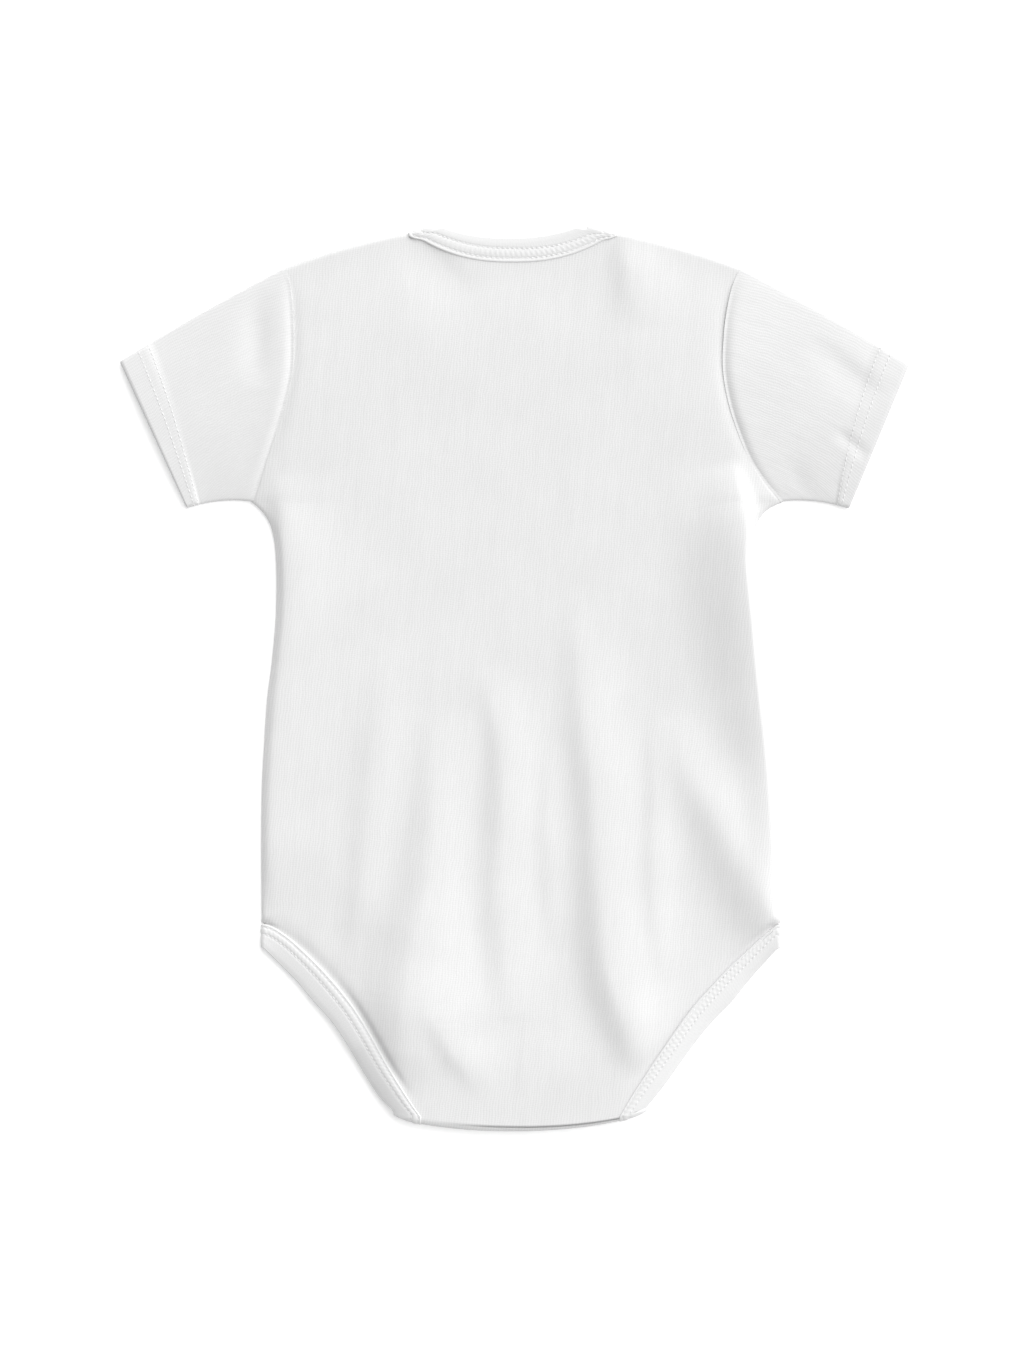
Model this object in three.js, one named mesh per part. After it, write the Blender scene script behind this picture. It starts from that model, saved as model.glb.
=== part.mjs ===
// A baby onesie: a short-sleeved knitted bodysuit laid flat on its front, so that its back faces up.
// Millimetres. As the back is seen from above, +X is to the right, +Y is towards the neck and +Z is up.
// Each cut piece is a wall around a grid of points on its middle surface. Pieces that are sewn
// together meet across a small gap, and the crotch is folded under and closed with three snaps.
import * as THREE from "three";

// Cloth and seams
const cloth = 1.0; // wall of a knitted panel
const binding = 1.8; // rib binding, folded over the cloth's edge and pressed flat
const hemCloth = 1.5; // turned sleeve hem
const lip = 0.3; // how far a rounded edge stands past a wall's last points
const gap = 0.3; // between pieces that are sewn or pressed together
const seamInset = lip + gap / 2; // from a seam line to the last points of the pieces beside it
const foldInset = 2.1; // from the outline to the axis that a binding folds around

// Heights of the middle surfaces above the table
const underZ = cloth / 2; // front panel, flat on the table
const underEdgeZ = 0.65; // its side and shoulder seams
const upperEdgeZ = 1.95; // back panel at those seams
const underBindingZ = binding / 2;
const upperBindingZ = 3.3; // binding where it folds over at a side seam or shoulder
const neckMiddleZ = 2.9; // back neckline, which sags into the front neck opening
const crotchUpperZ = 7.6; // back panel where it folds under at the crotch
const crotchLowerZ = 3.0; // the same cloth just after the fold
const crotchRadius = (crotchUpperZ - crotchLowerZ) / 2;
const bodyZ = 4.6; // back panel away from its seams
const crotchPuff = 0.9; // and how much higher it lies above the crotch flap
const blend = 0.4; // how softly the one height runs into the other
const armholeRise = 2.4; // how far the middle of an armhole lies above its ends
const ditch = 0.7; // how deep a seam pulls the cloth down
const ditchWidth = 3;
const touch = 0.35; // how softly the back panel comes down onto what lies under it

// Outline of the back panel, from the crotch fold up. half is the half width, lean moves the middle.
// Columns: y, half, lean
const legSeam = [
  [-199.0, 44.6, 2.6],
  [-195.0, 47.2, 2.3],
  [-188.0, 51.6, 2.1],
  [-175.0, 59.9, 2.4],
  [-162.0, 68.0, 3.3],
  [-150.0, 76.1, 3.9],
  [-140.0, 84.5, 4.5],
  [-132.0, 91.9, 4.7],
  [-125.0, 99.2, 4.9],
  [-117.5, 107.5, 4.7],
  [-112.6, 114.5, 3.9],
  [-111.4, 118.2, 3.1],
];
const sideSeam = [
  [-111.4, 118.2, 3.1],
  [-92.0, 118.3, 3.0],
  [-65.0, 117.6, 2.3],
  [-46.0, 116.6, 1.7],
  [-28.0, 115.2, 1.3],
  [-10.0, 113.6, 0.9],
  [5.0, 111.8, 1.0],
  [25.0, 109.9, 1.0],
  [40.0, 108.9, 0.5],
  [54.0, 108.5, -0.2],
  [63.0, 109.2, -0.4],
  [70.5, 111.2, -0.5],
  [76.2, 115.4, -0.2],
  [79.8, 121.0, 1.2],
];
const armhole = [
  [79.8, 121.0, 1.2],
  [90.0, 114.8, -1.3],
  [99.0, 110.2, -2.6],
  [112.0, 105.3, -3.2],
  [125.0, 101.3, -3.3],
  [140.0, 98.5, -3.0],
  [155.0, 98.5, -2.6],
  [167.0, 99.5, -2.1],
  [178.0, 101.4, -1.4],
  [186.0, 104.4, -0.7],
];
// Outer edge of the back leg binding, in the same columns
const legEdge = [
  [-195.6, 57.6, 1.6],
  [-190.5, 62.4, 1.2],
  [-183.1, 67.8, 1.6],
  [-174.0, 73.8, 2.1],
  [-164.9, 79.9, 2.8],
  [-155.8, 86.9, 3.4],
  [-146.7, 95.5, 3.8],
  [-137.6, 103.0, 3.6],
  [-128.5, 111.6, 3.1],
  [-121.7, 118.1, 2.8],
];
// Leg seam of the front panel, cut higher, down to the end of its crotch tongue
const frontLegSeam = [
  [-191.0, 40.5, 2.6],
  [-180.0, 45.5, 2.6],
  [-168.0, 51.5, 2.8],
  [-154.0, 60.0, 3.0],
  [-142.0, 68.5, 3.4],
  [-132.0, 77.5, 3.6],
  [-124.0, 86.5, 3.8],
  [-118.0, 96.0, 3.8],
  [-113.6, 108.0, 3.5],
  [-111.4, 118.2, 3.1],
];

// Neck and shoulders
const neck = { middle: -0.7, half: 47.3, cornerY: 202.4, backDrop: 14.1, frontDrop: 50, power: 2.4 };
const neckEdge = { middle: -2.0, half: 34.8, cornerY: 206.1, backDrop: 6.3, frontDrop: 42, power: 2.2 };
const shoulder = { tipHalf: 104.4, tipY: 186.0, bulge: 1.5, dipWidth: 6, slope: 0.29 };

// Sleeves
const cuff = {
  left: { topX: -179.6, topY: 144.0, underX: -148.8, underY: 76.9 },
  right: { topX: 179.6, topY: 143.0, underX: 152.0, underY: 76.7 },
};
const sleeve = { topBulge: 0.9, underBulge: 1.6, edgeRadius: 0.8, puff: 2.3 };
const hem = { width: 15, edgeRadius: 1.05, puff: 1.6 };
// Shares of a sleeve's length that have a ring of points, up to its hem
const sleeveRings = [0, 0.03, 0.1, 0.2, 0.32, 0.45, 0.57, 0.69];

// Crotch closure: the back flap comes up from the fold, and the front tongue lies outside it
const crotch = { lowestY: -205.9, middle: -1, rise: 5.4, riseHalf: 52, power: 2.2 };
const flap = { endY: -163, endHalf: 40.5, z: 4.9, ramp: 9, lean: 2.6 };
const tongue = { endY: -191, lift: 1.1, liftFrom: -158, liftTo: -170 };
const bindingWidth = { tongue: 9, flap: 9, side: 10.3 };
const legDroop = { left: 2.2, right: 0.7 }; // of a back leg binding's free edge
const snap = { y: -178, spacing: 25, segments: 14 };
const cap = { radius: 4.8, height: 0.8, round: 0.5 };
const socket = { radius: 4.2, height: 0.9, wellRadius: 2.1, wellDepth: 0.6 };
const stud = { radius: 4.2, height: 0.5, bossRadius: 1.75, bossHeight: 0.55 };
const tongueTopZ = tongue.lift + cloth;
const flapTopZ = flap.z + cloth / 2;
const snapTopZ = flapTopZ + gap + cap.height;

// How far in from its two sides the back panel goes on rising.
// Columns: y, left, right
const sideRise = [
  [-150, 16, 13],
  [-111, 12, 9],
  [-56, 9, 7],
  [-25, 8, 6],
  [8, 6, 6],
  [53, 6, 7],
  [90, 9, 10],
  [186, 22, 24],
];
const edgeShare = 0.55; // of that rise; the rest takes five times as far
const topRise = 60; // and from the shoulders and neck
const bottomRise = 30; // and from the crotch fold

// Folds of the back panel. Each row is a place along a fold, which is a ridge, or a trough where
// lift is negative. left and right are the widths of its two slopes.
// Columns: x, y, lift, left, right
const bodyFolds = [
  [
    [-35.5, -16, 0, 6, 13],
    [-36.2, -60, 1.8, 8, 15],
    [-39, -94, 2.7, 9, 17],
    [-45, -124, 3.6, 11, 19],
    [-50.5, -148, 3.8, 12, 19],
    [-50.5, -168, 2.2, 10, 15],
    [-50, -188, 0, 8, 10],
  ],
  [
    [-14, 4, 0, 5, 11],
    [-6, -30, 1.4, 6.5, 13],
    [-5.2, -60, 2.1, 7, 15],
    [-5.8, -100, 1.8, 7.5, 15],
    [-3, -135, 0.9, 7, 13],
    [-2, -152, 0, 6, 10],
  ],
  [
    [28, 36, 0, 6, 13],
    [31.6, -14, 1.5, 7.5, 15],
    [36.2, -50, 2.3, 8.5, 16],
    [39, -96, 2.4, 9, 16],
    [44, -132, 3.2, 10, 16],
    [51, -155, 2.8, 9, 12],
    [57, -180, 0, 7, 9],
  ],
  [
    [17, -30, 0, 4, 8],
    [15.5, -60, 0.6, 4, 9],
    [16.5, -100, 0.6, 4, 9],
    [19, -125, 0, 4, 8],
  ],
  [
    [63.5, -12, 0, 4, 9],
    [64.4, -54, 0.9, 4.5, 9],
    [64, -94, 0.9, 5, 10],
    [68, -138, 0, 4, 8],
  ],
  [
    [72, -18, 0, 7, 11],
    [80.5, -44, 1.5, 9, 13],
    [93, -66, 2.3, 10, 13],
    [103, -85, 2.8, 11, 11],
    [113, -104, 2.4, 11, 8],
    [119, -116, 1.5, 10, 7],
  ],
  [
    [-60.5, 20, 0, 6, 11],
    [-61.5, -20, 0.8, 7, 13],
    [-66, -64, 1.2, 7.5, 13],
    [-69.5, -106, 0.9, 7, 11],
    [-75, -134, 0, 6, 9],
  ],
  [
    [-36, -156, 0, 5, 9],
    [-27, -174, 0.8, 5, 9],
    [-14, -192, 0, 5, 8],
  ],
  [
    [-106, 90, 0, 5, 18],
    [-105, 66, 1.7, 5, 21],
    [-104.5, 34, 2, 5, 22],
    [-107, 2, 1.5, 5, 19],
    [-110, -24, 0, 5, 15],
  ],
  [
    [98, 96, 0, 14, 5],
    [101.5, 74, 2.2, 18, 5],
    [104.5, 52, 3.6, 21, 5],
    [107, 34, 4, 22, 5],
    [108.5, 14, 3.5, 20, 5],
    [110, -10, 2.3, 17, 5],
    [113, -46, 0, 13, 5],
  ],
  [
    [-43, 199, -0.4, 14, 6],
    [-34, 188, -1, 14, 6],
    [-18, 170, 0, 13, 7],
  ],
  [
    [50, 200, 0.3, 5, 13],
    [52.5, 186, 1.1, 6, 14],
    [56, 158, 0, 8, 14],
  ],
];
const sleeveFolds = {
  left: [
    [
      [-116.5, 186, 0, 7, 6],
      [-117, 168, -0.7, 7, 6],
      [-116.5, 144, -0.7, 7, 6],
      [-118, 118, 0, 6, 6],
    ],
  ],
  right: [
    [
      [132, 153, 0, 7, 5],
      [143, 147, -1, 8, 5],
      [158, 134, -1.1, 8, 5],
      [168, 125, 0, 6, 5],
    ],
    [
      [146, 113, 0, 3, 3],
      [150, 109, -0.6, 3, 3],
      [158, 102, -0.6, 3, 3],
      [161, 99, 0, 3, 3],
    ],
    [
      [134, 72, -0.9, 5, 5],
      [130, 86, -1.1, 5, 5],
      [124, 101, 0, 5, 5],
    ],
  ],
};

// Grids
const rowCount = { leg: 17, side: 17, armhole: 9, fold: 5, flap: 4, front: 9 };
const shoulderColumns = 9;
const neckColumns = 14; // as many as the binding beside them
const frontShoulderColumns = 4;

const looks = {
  knit: { color: 0xf1f1f0, roughness: 0.92, metalness: 0 },
  rib: { color: 0xf3f3f2, roughness: 0.9, metalness: 0 },
  snap: { color: 0xe9e9e6, roughness: 0.4, metalness: 0 },
};

const mix = THREE.MathUtils.lerp;
const ease = THREE.MathUtils.smoothstep; // ease(x, low, high)

// The points at the given shares of the length of one side's curve through a table of y, half, lean.
function seamPoints(table, side, steps) {
  const points = table.map(([y, half, lean]) => new THREE.Vector3(lean + side * half, y, 0));
  const curve = new THREE.CatmullRomCurve3(points, false, "centripetal");
  return steps.map((share) => {
    const point = curve.getPointAt(share);
    const along = curve.getTangentAt(share);
    point.outward = new THREE.Vector3(along.y, -along.x, 0).multiplyScalar(side);
    return point;
  });
}

function shares(count) {
  return Array.from({ length: count + 1 }, (_, i) => i / count);
}

// Moves a seam point inwards, into the panel. At a corner it moves in from both seams.
function inset(point, distance, second = point.outward) {
  const mitre = point.outward.clone().add(second);
  return point.clone().addScaledVector(mitre, -distance / (1 + point.outward.dot(second)));
}

// y of a neckline at x: a bowl of the given drop, whose corners dip to where the binding folds over.
function necklineY(line, drop, x) {
  const across = Math.min(1, Math.abs(x - line.middle) / line.half);
  return line.cornerY - drop * (1 - across ** line.power) - foldInset * ease(across, 0.85, 1);
}

// y of a panel's top edge at x: shoulder, neckline, shoulder.
function topY(drop, x) {
  const out = Math.abs(x - neck.middle) - neck.half;
  if (out <= 0) return necklineY(neck, drop, x);
  const share = out / (shoulder.tipHalf - neck.half);
  const straight = mix(neck.cornerY, shoulder.tipY, share) + 4 * shoulder.bulge * share * (1 - share);
  return straight - foldInset * (1 - ease(out, 0, shoulder.dipWidth));
}

// y of a line moved inwards by a distance, square to the line at x.
function insetY(line, x, distance) {
  const slope = (line(x + 0.1) - line(x - 0.1)) / 0.2;
  return line(x) - distance * Math.hypot(1, slope);
}

function crotchY(x) {
  return crotch.lowestY + crotch.rise * (Math.abs(x - crotch.middle) / crotch.riseHalf) ** crotch.power;
}

// The line that the crotch folds around.
function crotchAxisY(x) {
  return crotchY(x) + crotchRadius + cloth / 2;
}

// The values after y in a table of rows that go up in y, at any y.
function valuesAt(table, y) {
  const next = Math.max(1, table.findIndex((row, i) => row[0] >= y || i === table.length - 1));
  const [[y0, ...values0], [y1, ...values1]] = [table[next - 1], table[next]];
  return values0.map((value, i) => mix(value, values1[i], ease(y, y0, y1)));
}

// The distance from a point to a line of points, seen from above.
function distanceTo(line, point) {
  const segment = new THREE.Line3();
  const nearest = new THREE.Vector3();
  const flat = point.clone().setZ(0);
  return line.slice(1).reduce((least, end, i) => {
    segment.set(line[i], end).closestPointToPoint(flat, true, nearest);
    return Math.min(least, nearest.distanceTo(flat));
  }, Infinity);
}

// How much a list of folds lifts the cloth at a point.
function foldLift(folds, x, y) {
  return folds.reduce((sum, fold) => {
    const { aside, lift, left, right } = besideFold(fold, x, y);
    return sum + lift * Math.exp(-((aside / (aside < 0 ? left : right)) ** 2));
  }, 0);
}

// The nearest place on a fold: how far to its right the point lies, with the fold's size there.
function besideFold(fold, x, y) {
  let nearest = { gap: Infinity };
  for (let i = 1; i < fold.length; i++) {
    const [x0, y0, ...size0] = fold[i - 1];
    const [x1, y1, ...size1] = fold[i];
    const [dx, dy] = [x1 - x0, y1 - y0];
    const t = THREE.MathUtils.clamp(((x - x0) * dx + (y - y0) * dy) / (dx * dx + dy * dy), 0, 1);
    const [ax, ay] = [x - x0 - t * dx, y - y0 - t * dy];
    const gap = Math.hypot(ax, ay);
    if (gap >= nearest.gap) continue;
    const rightward = ay * dx - ax * dy > 0 ? 1 : -1;
    const [lift, left, right] = size0.map((size, k) => mix(size, size1[k], ease(t, 0, 1)));
    nearest = { gap, aside: gap * rightward, lift, left, right };
  }
  return nearest;
}

// Shares across a panel, with columns on both corners of the neck and closer ones at the sides.
function columnShares(outer, inner) {
  const corner = (shoulder.tipHalf - neck.half) / (2 * shoulder.tipHalf);
  const left = shares(outer).map((s) => corner * s ** 1.35);
  const middle = shares(inner).map((s) => mix(corner, 1 - corner, s));
  return [...left, ...middle.slice(1, -1), ...left.map((s) => 1 - s).reverse()];
}

// A sheet between left and right edge points, row by row from the crotch up. The middle of each row
// bends to follow the top and bottom lines, by that row's shares of them.
function sheetGrid(rows, columns, topLine, bottomLine) {
  const bend = (line, u, share) => (share ? share * (line(u) - mix(line(0), line(1), u)) : 0);
  return rows.map((row) =>
    columns.map((u) => {
      const point = row.left.clone().lerp(row.right, u);
      point.y += bend(topLine, u, row.top) + bend(bottomLine, u, row.bottom);
      return point;
    }),
  );
}

// Rows of edge points up one panel: leg seam, side seam and armhole.
function panelRows(legTable, legRows) {
  const tables = [legTable, sideSeam, armhole];
  const counts = [legRows, rowCount.side, rowCount.armhole];
  const rows = [];
  tables.forEach((table, part) => {
    const steps = shares(counts[part]).slice(part ? 1 : 0);
    const [left, right] = [-1, 1].map((side) => {
      const next = tables[part + 1];
      const shoulderOutward = { outward: new THREE.Vector3(side * shoulder.slope, 1, 0).normalize() };
      const corner = next ? seamPoints(next, side, [0])[0] : shoulderOutward;
      const atCorner = (i) => (i === steps.length - 1 ? corner.outward : undefined);
      return seamPoints(table, side, steps).map((point, i) => inset(point, seamInset, atCorner(i)));
    });
    steps.forEach((share, i) => {
      rows.push({
        seam: ["leg", "side", "armhole"][part],
        share,
        left: left[i],
        right: right[i],
        top: part === 2 ? share : 0,
        bottom: part === 0 ? (1 - share) ** 2 : 0,
      });
    });
  });
  return rows;
}

// Height of the back panel's edge, and of the binding on it, along each of its seams.
function legZ(share) {
  return mix(crotchUpperZ, upperBindingZ, ease(share, 0.1, 1));
}
function sideZ(share) {
  return mix(upperBindingZ, upperEdgeZ, ease(share, 0, 0.14));
}
function armholeZ(share) {
  return upperEdgeZ + armholeRise * Math.sin(Math.PI * share) ** 0.8;
}
function shoulderZ(x) {
  const out = (shoulder.tipHalf - Math.abs(x - neck.middle)) / (shoulder.tipHalf - neck.half);
  return mix(upperEdgeZ, neckMiddleZ, ease(out, 0, 1));
}

// How deep the cloth dips at a distance from a seam.
function seamDitch(distance) {
  return ditch * Math.exp(-((distance / ditchWidth) ** 2));
}

// A height that comes down softly onto a floor.
function settleOn(floor, z) {
  return floor + touch * Math.log1p(Math.exp((z - floor) / touch));
}

// The lowest that the back panel's upper layer can lie: on the front panel, or on the flap's snaps.
function floorZ({ x, y }) {
  const overFlap = ease(flap.endY + 14 - y, 0, 10) * (1 - ease(Math.abs(x - flap.lean), 53, 63));
  return mix(underZ + cloth + gap, snapTopZ + gap + cloth / 2, overFlap);
}

// Back panel: the upper layer, the fold at the crotch and the flap that it leads to underneath.
function backPanelGrid() {
  const rows = panelRows(legSeam, rowCount.leg);
  const columns = columnShares(shoulderColumns, neckColumns);
  const ends = rows[rows.length - 1];
  const topEdge = (x) => topY(neck.backDrop, x);
  const topLine = (u) => insetY(topEdge, mix(ends.left.x, ends.right.x, u), seamInset);
  const bottomLine = (u) => crotchAxisY(mix(rows[0].left.x, rows[0].right.x, u));
  const grid = sheetGrid(rows, columns, topLine, bottomLine);
  const edges = [rows.map((row) => row.left), rows.map((row) => row.right)];
  grid.forEach((line, i) => {
    const { seam, share, top } = rows[i];
    const sewnHere = { leg: 1 - ease(share, 0.8, 1), side: 0, armhole: ease(share, 0, 0.15) }[seam];
    const seamHeight = { leg: legZ, side: sideZ, armhole: armholeZ }[seam](share);
    line.forEach((point, j) => {
      const side = columns[j] < 0.5 ? 0 : 1;
      const fromSide = distanceTo(edges[side], point);
      const riseWidth = valuesAt(sideRise, point.y)[side];
      const fromTop = topEdge(point.x) - point.y;
      const settle = ease(point.y - crotchAxisY(point.x), 0, bottomRise);
      const base = mix(seamHeight, shoulderZ(point.x), top ** 3);
      const sideUp = mix(ease(fromSide, 0, 5 * riseWidth), ease(fromSide, 0, riseWidth), edgeShare);
      const lowBase = { leg: seamHeight, side: seamHeight, armhole: sideZ(1) }[seam];
      const over = (lowBase + crotchPuff - bodyZ) / blend;
      const middle = bodyZ + blend * Math.log1p(Math.exp(over));
      const raised = sideUp * ease(fromTop, 0, topRise) * settle * (middle - base);
      const sewn = sewnHere * seamDitch(fromSide) * (1 - top ** 8) * settle;
      const folds = foldLift(bodyFolds, point.x, point.y) * ease(fromSide, 0, 10) * settle;
      point.z = settleOn(floorZ(point), base + raised - sewn + folds);
    });
  });
  return [...flapGrid(columns), ...grid];
}

// The flap's rows from its free end to the crotch fold, then the rows around the fold.
function flapGrid(columns) {
  const [startY, startHalf] = legSeam[0];
  const flapRow = (half, z, lineY) =>
    columns.map((u) => {
      const x = flap.lean + (half - seamInset) * (2 * u - 1);
      return new THREE.Vector3(x, lineY(x), z);
    });
  const rows = shares(rowCount.flap).map((s) => {
    const z = flapZ(mix(flap.endY, startY, s));
    return flapRow(mix(flap.endHalf, startHalf, s), z, (x) => mix(flap.endY, crotchAxisY(x), s));
  });
  for (let i = 1; i < rowCount.fold; i++) {
    const turn = (Math.PI * i) / rowCount.fold;
    const z = crotchLowerZ + crotchRadius * (1 - Math.cos(turn));
    rows.push(flapRow(startHalf, z, (x) => crotchAxisY(x) - crotchRadius * Math.sin(turn)));
  }
  return rows;
}
function flapZ(y) {
  const [startY] = legSeam[0];
  return mix(crotchLowerZ, flap.z, ease(y, startY, startY + flap.ramp));
}

// Front panel: flat on the table, with a deeper neckline and a tongue that ends short of the fold.
function frontPanelGrid() {
  const rows = panelRows(frontLegSeam, rowCount.front);
  const columns = columnShares(frontShoulderColumns, neckColumns);
  const ends = rows[rows.length - 1];
  const topEdge = (x) => topY(neck.frontDrop, x);
  const topLine = (u) => insetY(topEdge, mix(ends.left.x, ends.right.x, u), seamInset);
  const grid = sheetGrid(rows, columns, topLine, () => tongue.endY);
  grid.forEach((line, i) => {
    line.forEach((point, j) => {
      const onOutline = rows[i].seam !== "leg" && (j === 0 || j === columns.length - 1);
      point.z = (onOutline ? underEdgeZ : underZ) + tongueLift(point.y);
    });
  });
  return grid;
}
function tongueLift(y) {
  return tongue.lift * ease(-y, -tongue.liftFrom, -tongue.liftTo);
}

// The steps of a binding's turn from its lower to its upper layer.
const bindingTurn = [0.25, 0.5, 0.75].map((along) => ({
  along,
  out: ((upperBindingZ - underBindingZ) / 2) * Math.sin(Math.PI * along),
  z: mix(upperBindingZ, underBindingZ, (1 + Math.cos(Math.PI * along)) / 2),
}));

// One row of a binding, between the last points at its seam and at its free edge.
function bandRow(from, to) {
  return shares(3).map((s) => from.clone().lerp(to, s));
}

// One leg's binding: up the front leg edge, over the side seam, down the back leg edge, around the
// crotch fold and along the flap. Each row runs from its seam to its free edge.
function legBindingGrid(side) {
  const rows = [];
  const down = new THREE.Vector3(0, -1, 0);
  const sideways = new THREE.Vector3(side, 0, 0);
  const seamRow = (seam, to, z) => {
    const from = inset(seam, -seamInset);
    from.z = z;
    rows.push(bandRow(from, to.setZ(z)));
    return rows[rows.length - 1];
  };
  // Front leg edge, as wide at its ends as the tongue and the side seam
  const frontSteps = shares(rowCount.front).map((s) => s * trimmed(frontLegSeam));
  seamPoints(frontLegSeam, side, frontSteps).forEach((seam, i) => {
    const share = i / rowCount.front;
    const nearEnd = 1 - ease(Math.min(share, 1 - share), 0, 0.3);
    const away = seam.outward.clone().lerp(share < 0.5 ? sideways : down, nearEnd).normalize();
    const width = mix(bindingWidth.tongue, bindingWidth.side, share ** 4) - lip;
    seamRow(seam, seam.clone().addScaledVector(away, width), underBindingZ + tongueLift(seam.y));
  });
  // Back leg edge, from the side seam down
  const backSteps = shares(rowCount.leg).reverse();
  const seams = seamPoints(legSeam, side, backSteps.map((s) => s * trimmed(legSeam)));
  const edges = seamPoints(legEdge, side, backSteps.map((s) => s * trimmed(legEdge)));
  const upper = seams.map((seam, i) => ({
    seam,
    to: inset(edges[i], lip),
    z: legZ(backSteps[i]),
    droop: legDroop[side < 0 ? "left" : "right"] * Math.sin(Math.PI * backSteps[i]),
  }));
  // The fold over the side seam joins the two
  const before = rows[rows.length - 1];
  for (const { along, out, z } of bindingTurn) {
    const bulge = sideways.clone().multiplyScalar(out);
    const from = before[0].clone().lerp(inset(upper[0].seam, -seamInset), along).add(bulge);
    const to = before[3].clone().lerp(upper[0].to, along).add(bulge);
    rows.push(bandRow(from.setZ(z), to.setZ(z)));
  }
  for (const { seam, to, z, droop } of upper) {
    seamRow(seam, to, z).forEach((point, k) => {
      point.z -= droop * (k / 3) ** 2;
    });
  }
  // Around the crotch fold and along the flap
  const crotchRow = (seamHalf, edgeHalf, y, z) => {
    const [from, to] = [seamHalf + seamInset, edgeHalf - lip].map((half) => flap.lean + side * half);
    rows.push(bandRow(new THREE.Vector3(from, y(from), z), new THREE.Vector3(to, y(to), z)));
  };
  const [seamHalf, edgeHalf] = [legSeam[0][1], legEdge[0][1]];
  for (let i = 1; i < rowCount.fold; i++) {
    const turn = (Math.PI * i) / rowCount.fold;
    const z = crotchUpperZ - crotchRadius * (1 - Math.cos(turn));
    crotchRow(seamHalf, edgeHalf, (x) => crotchAxisY(x) - crotchRadius * Math.sin(turn), z);
  }
  for (const s of shares(rowCount.flap)) {
    const z = flapZ(mix(legSeam[0][0], flap.endY, s));
    const endEdge = flap.endHalf + bindingWidth.flap;
    const lineY = (x) => mix(crotchAxisY(x), flap.endY, s);
    crotchRow(mix(seamHalf, flap.endHalf, s), mix(edgeHalf, endEdge, s), lineY, z);
  }
  return rows;
}

// The share of a leg's seam or edge that lies inside the fold over the side seam.
function trimmed(table) {
  const points = table.map(([y, half]) => new THREE.Vector3(half, y, 0));
  return 1 - foldInset / new THREE.CatmullRomCurve3(points, false, "centripetal").getLength();
}

// Neck binding: one ring, along the back neckline, over a shoulder, along the front and back up.
function neckBindingGrid() {
  const rows = [];
  const tip = new THREE.Vector2(neck.half - neckEdge.half, neck.cornerY - neckEdge.cornerY).normalize();
  const neckline = (share, drops, z) => {
    const [from, to] = [neck, neckEdge].map((line, i) => {
      const x = line.middle + line.half * (2 * share - 1);
      return new THREE.Vector3(x, insetY((at) => necklineY(line, drops[i], at), x, i ? lip : -seamInset), z);
    });
    rows.push(bandRow(from, to));
  };
  const overShoulder = (side, turn) => {
    for (const { out, z } of turn) {
      const bulge = new THREE.Vector3(-side * tip.y, tip.x, 0).multiplyScalar(out);
      const [from, to] = [neck, neckEdge].map((line) =>
        new THREE.Vector3(line.middle + side * line.half, line.cornerY - foldInset, z).add(bulge),
      );
      const away = to.clone().sub(from).normalize();
      rows.push(bandRow(from.addScaledVector(away, seamInset), to.addScaledVector(away, -lip)));
    }
  };
  const steps = shares(neckColumns);
  for (const s of steps) {
    const z = mix(neckMiddleZ, upperBindingZ, Math.abs(2 * s - 1) ** 4);
    neckline(s, [neck.backDrop, neckEdge.backDrop], z);
  }
  overShoulder(1, bindingTurn.toReversed());
  for (const s of steps.reverse()) neckline(s, [neck.frontDrop, neckEdge.frontDrop], underBindingZ);
  overShoulder(-1, bindingTurn);
  return rows;
}

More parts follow.
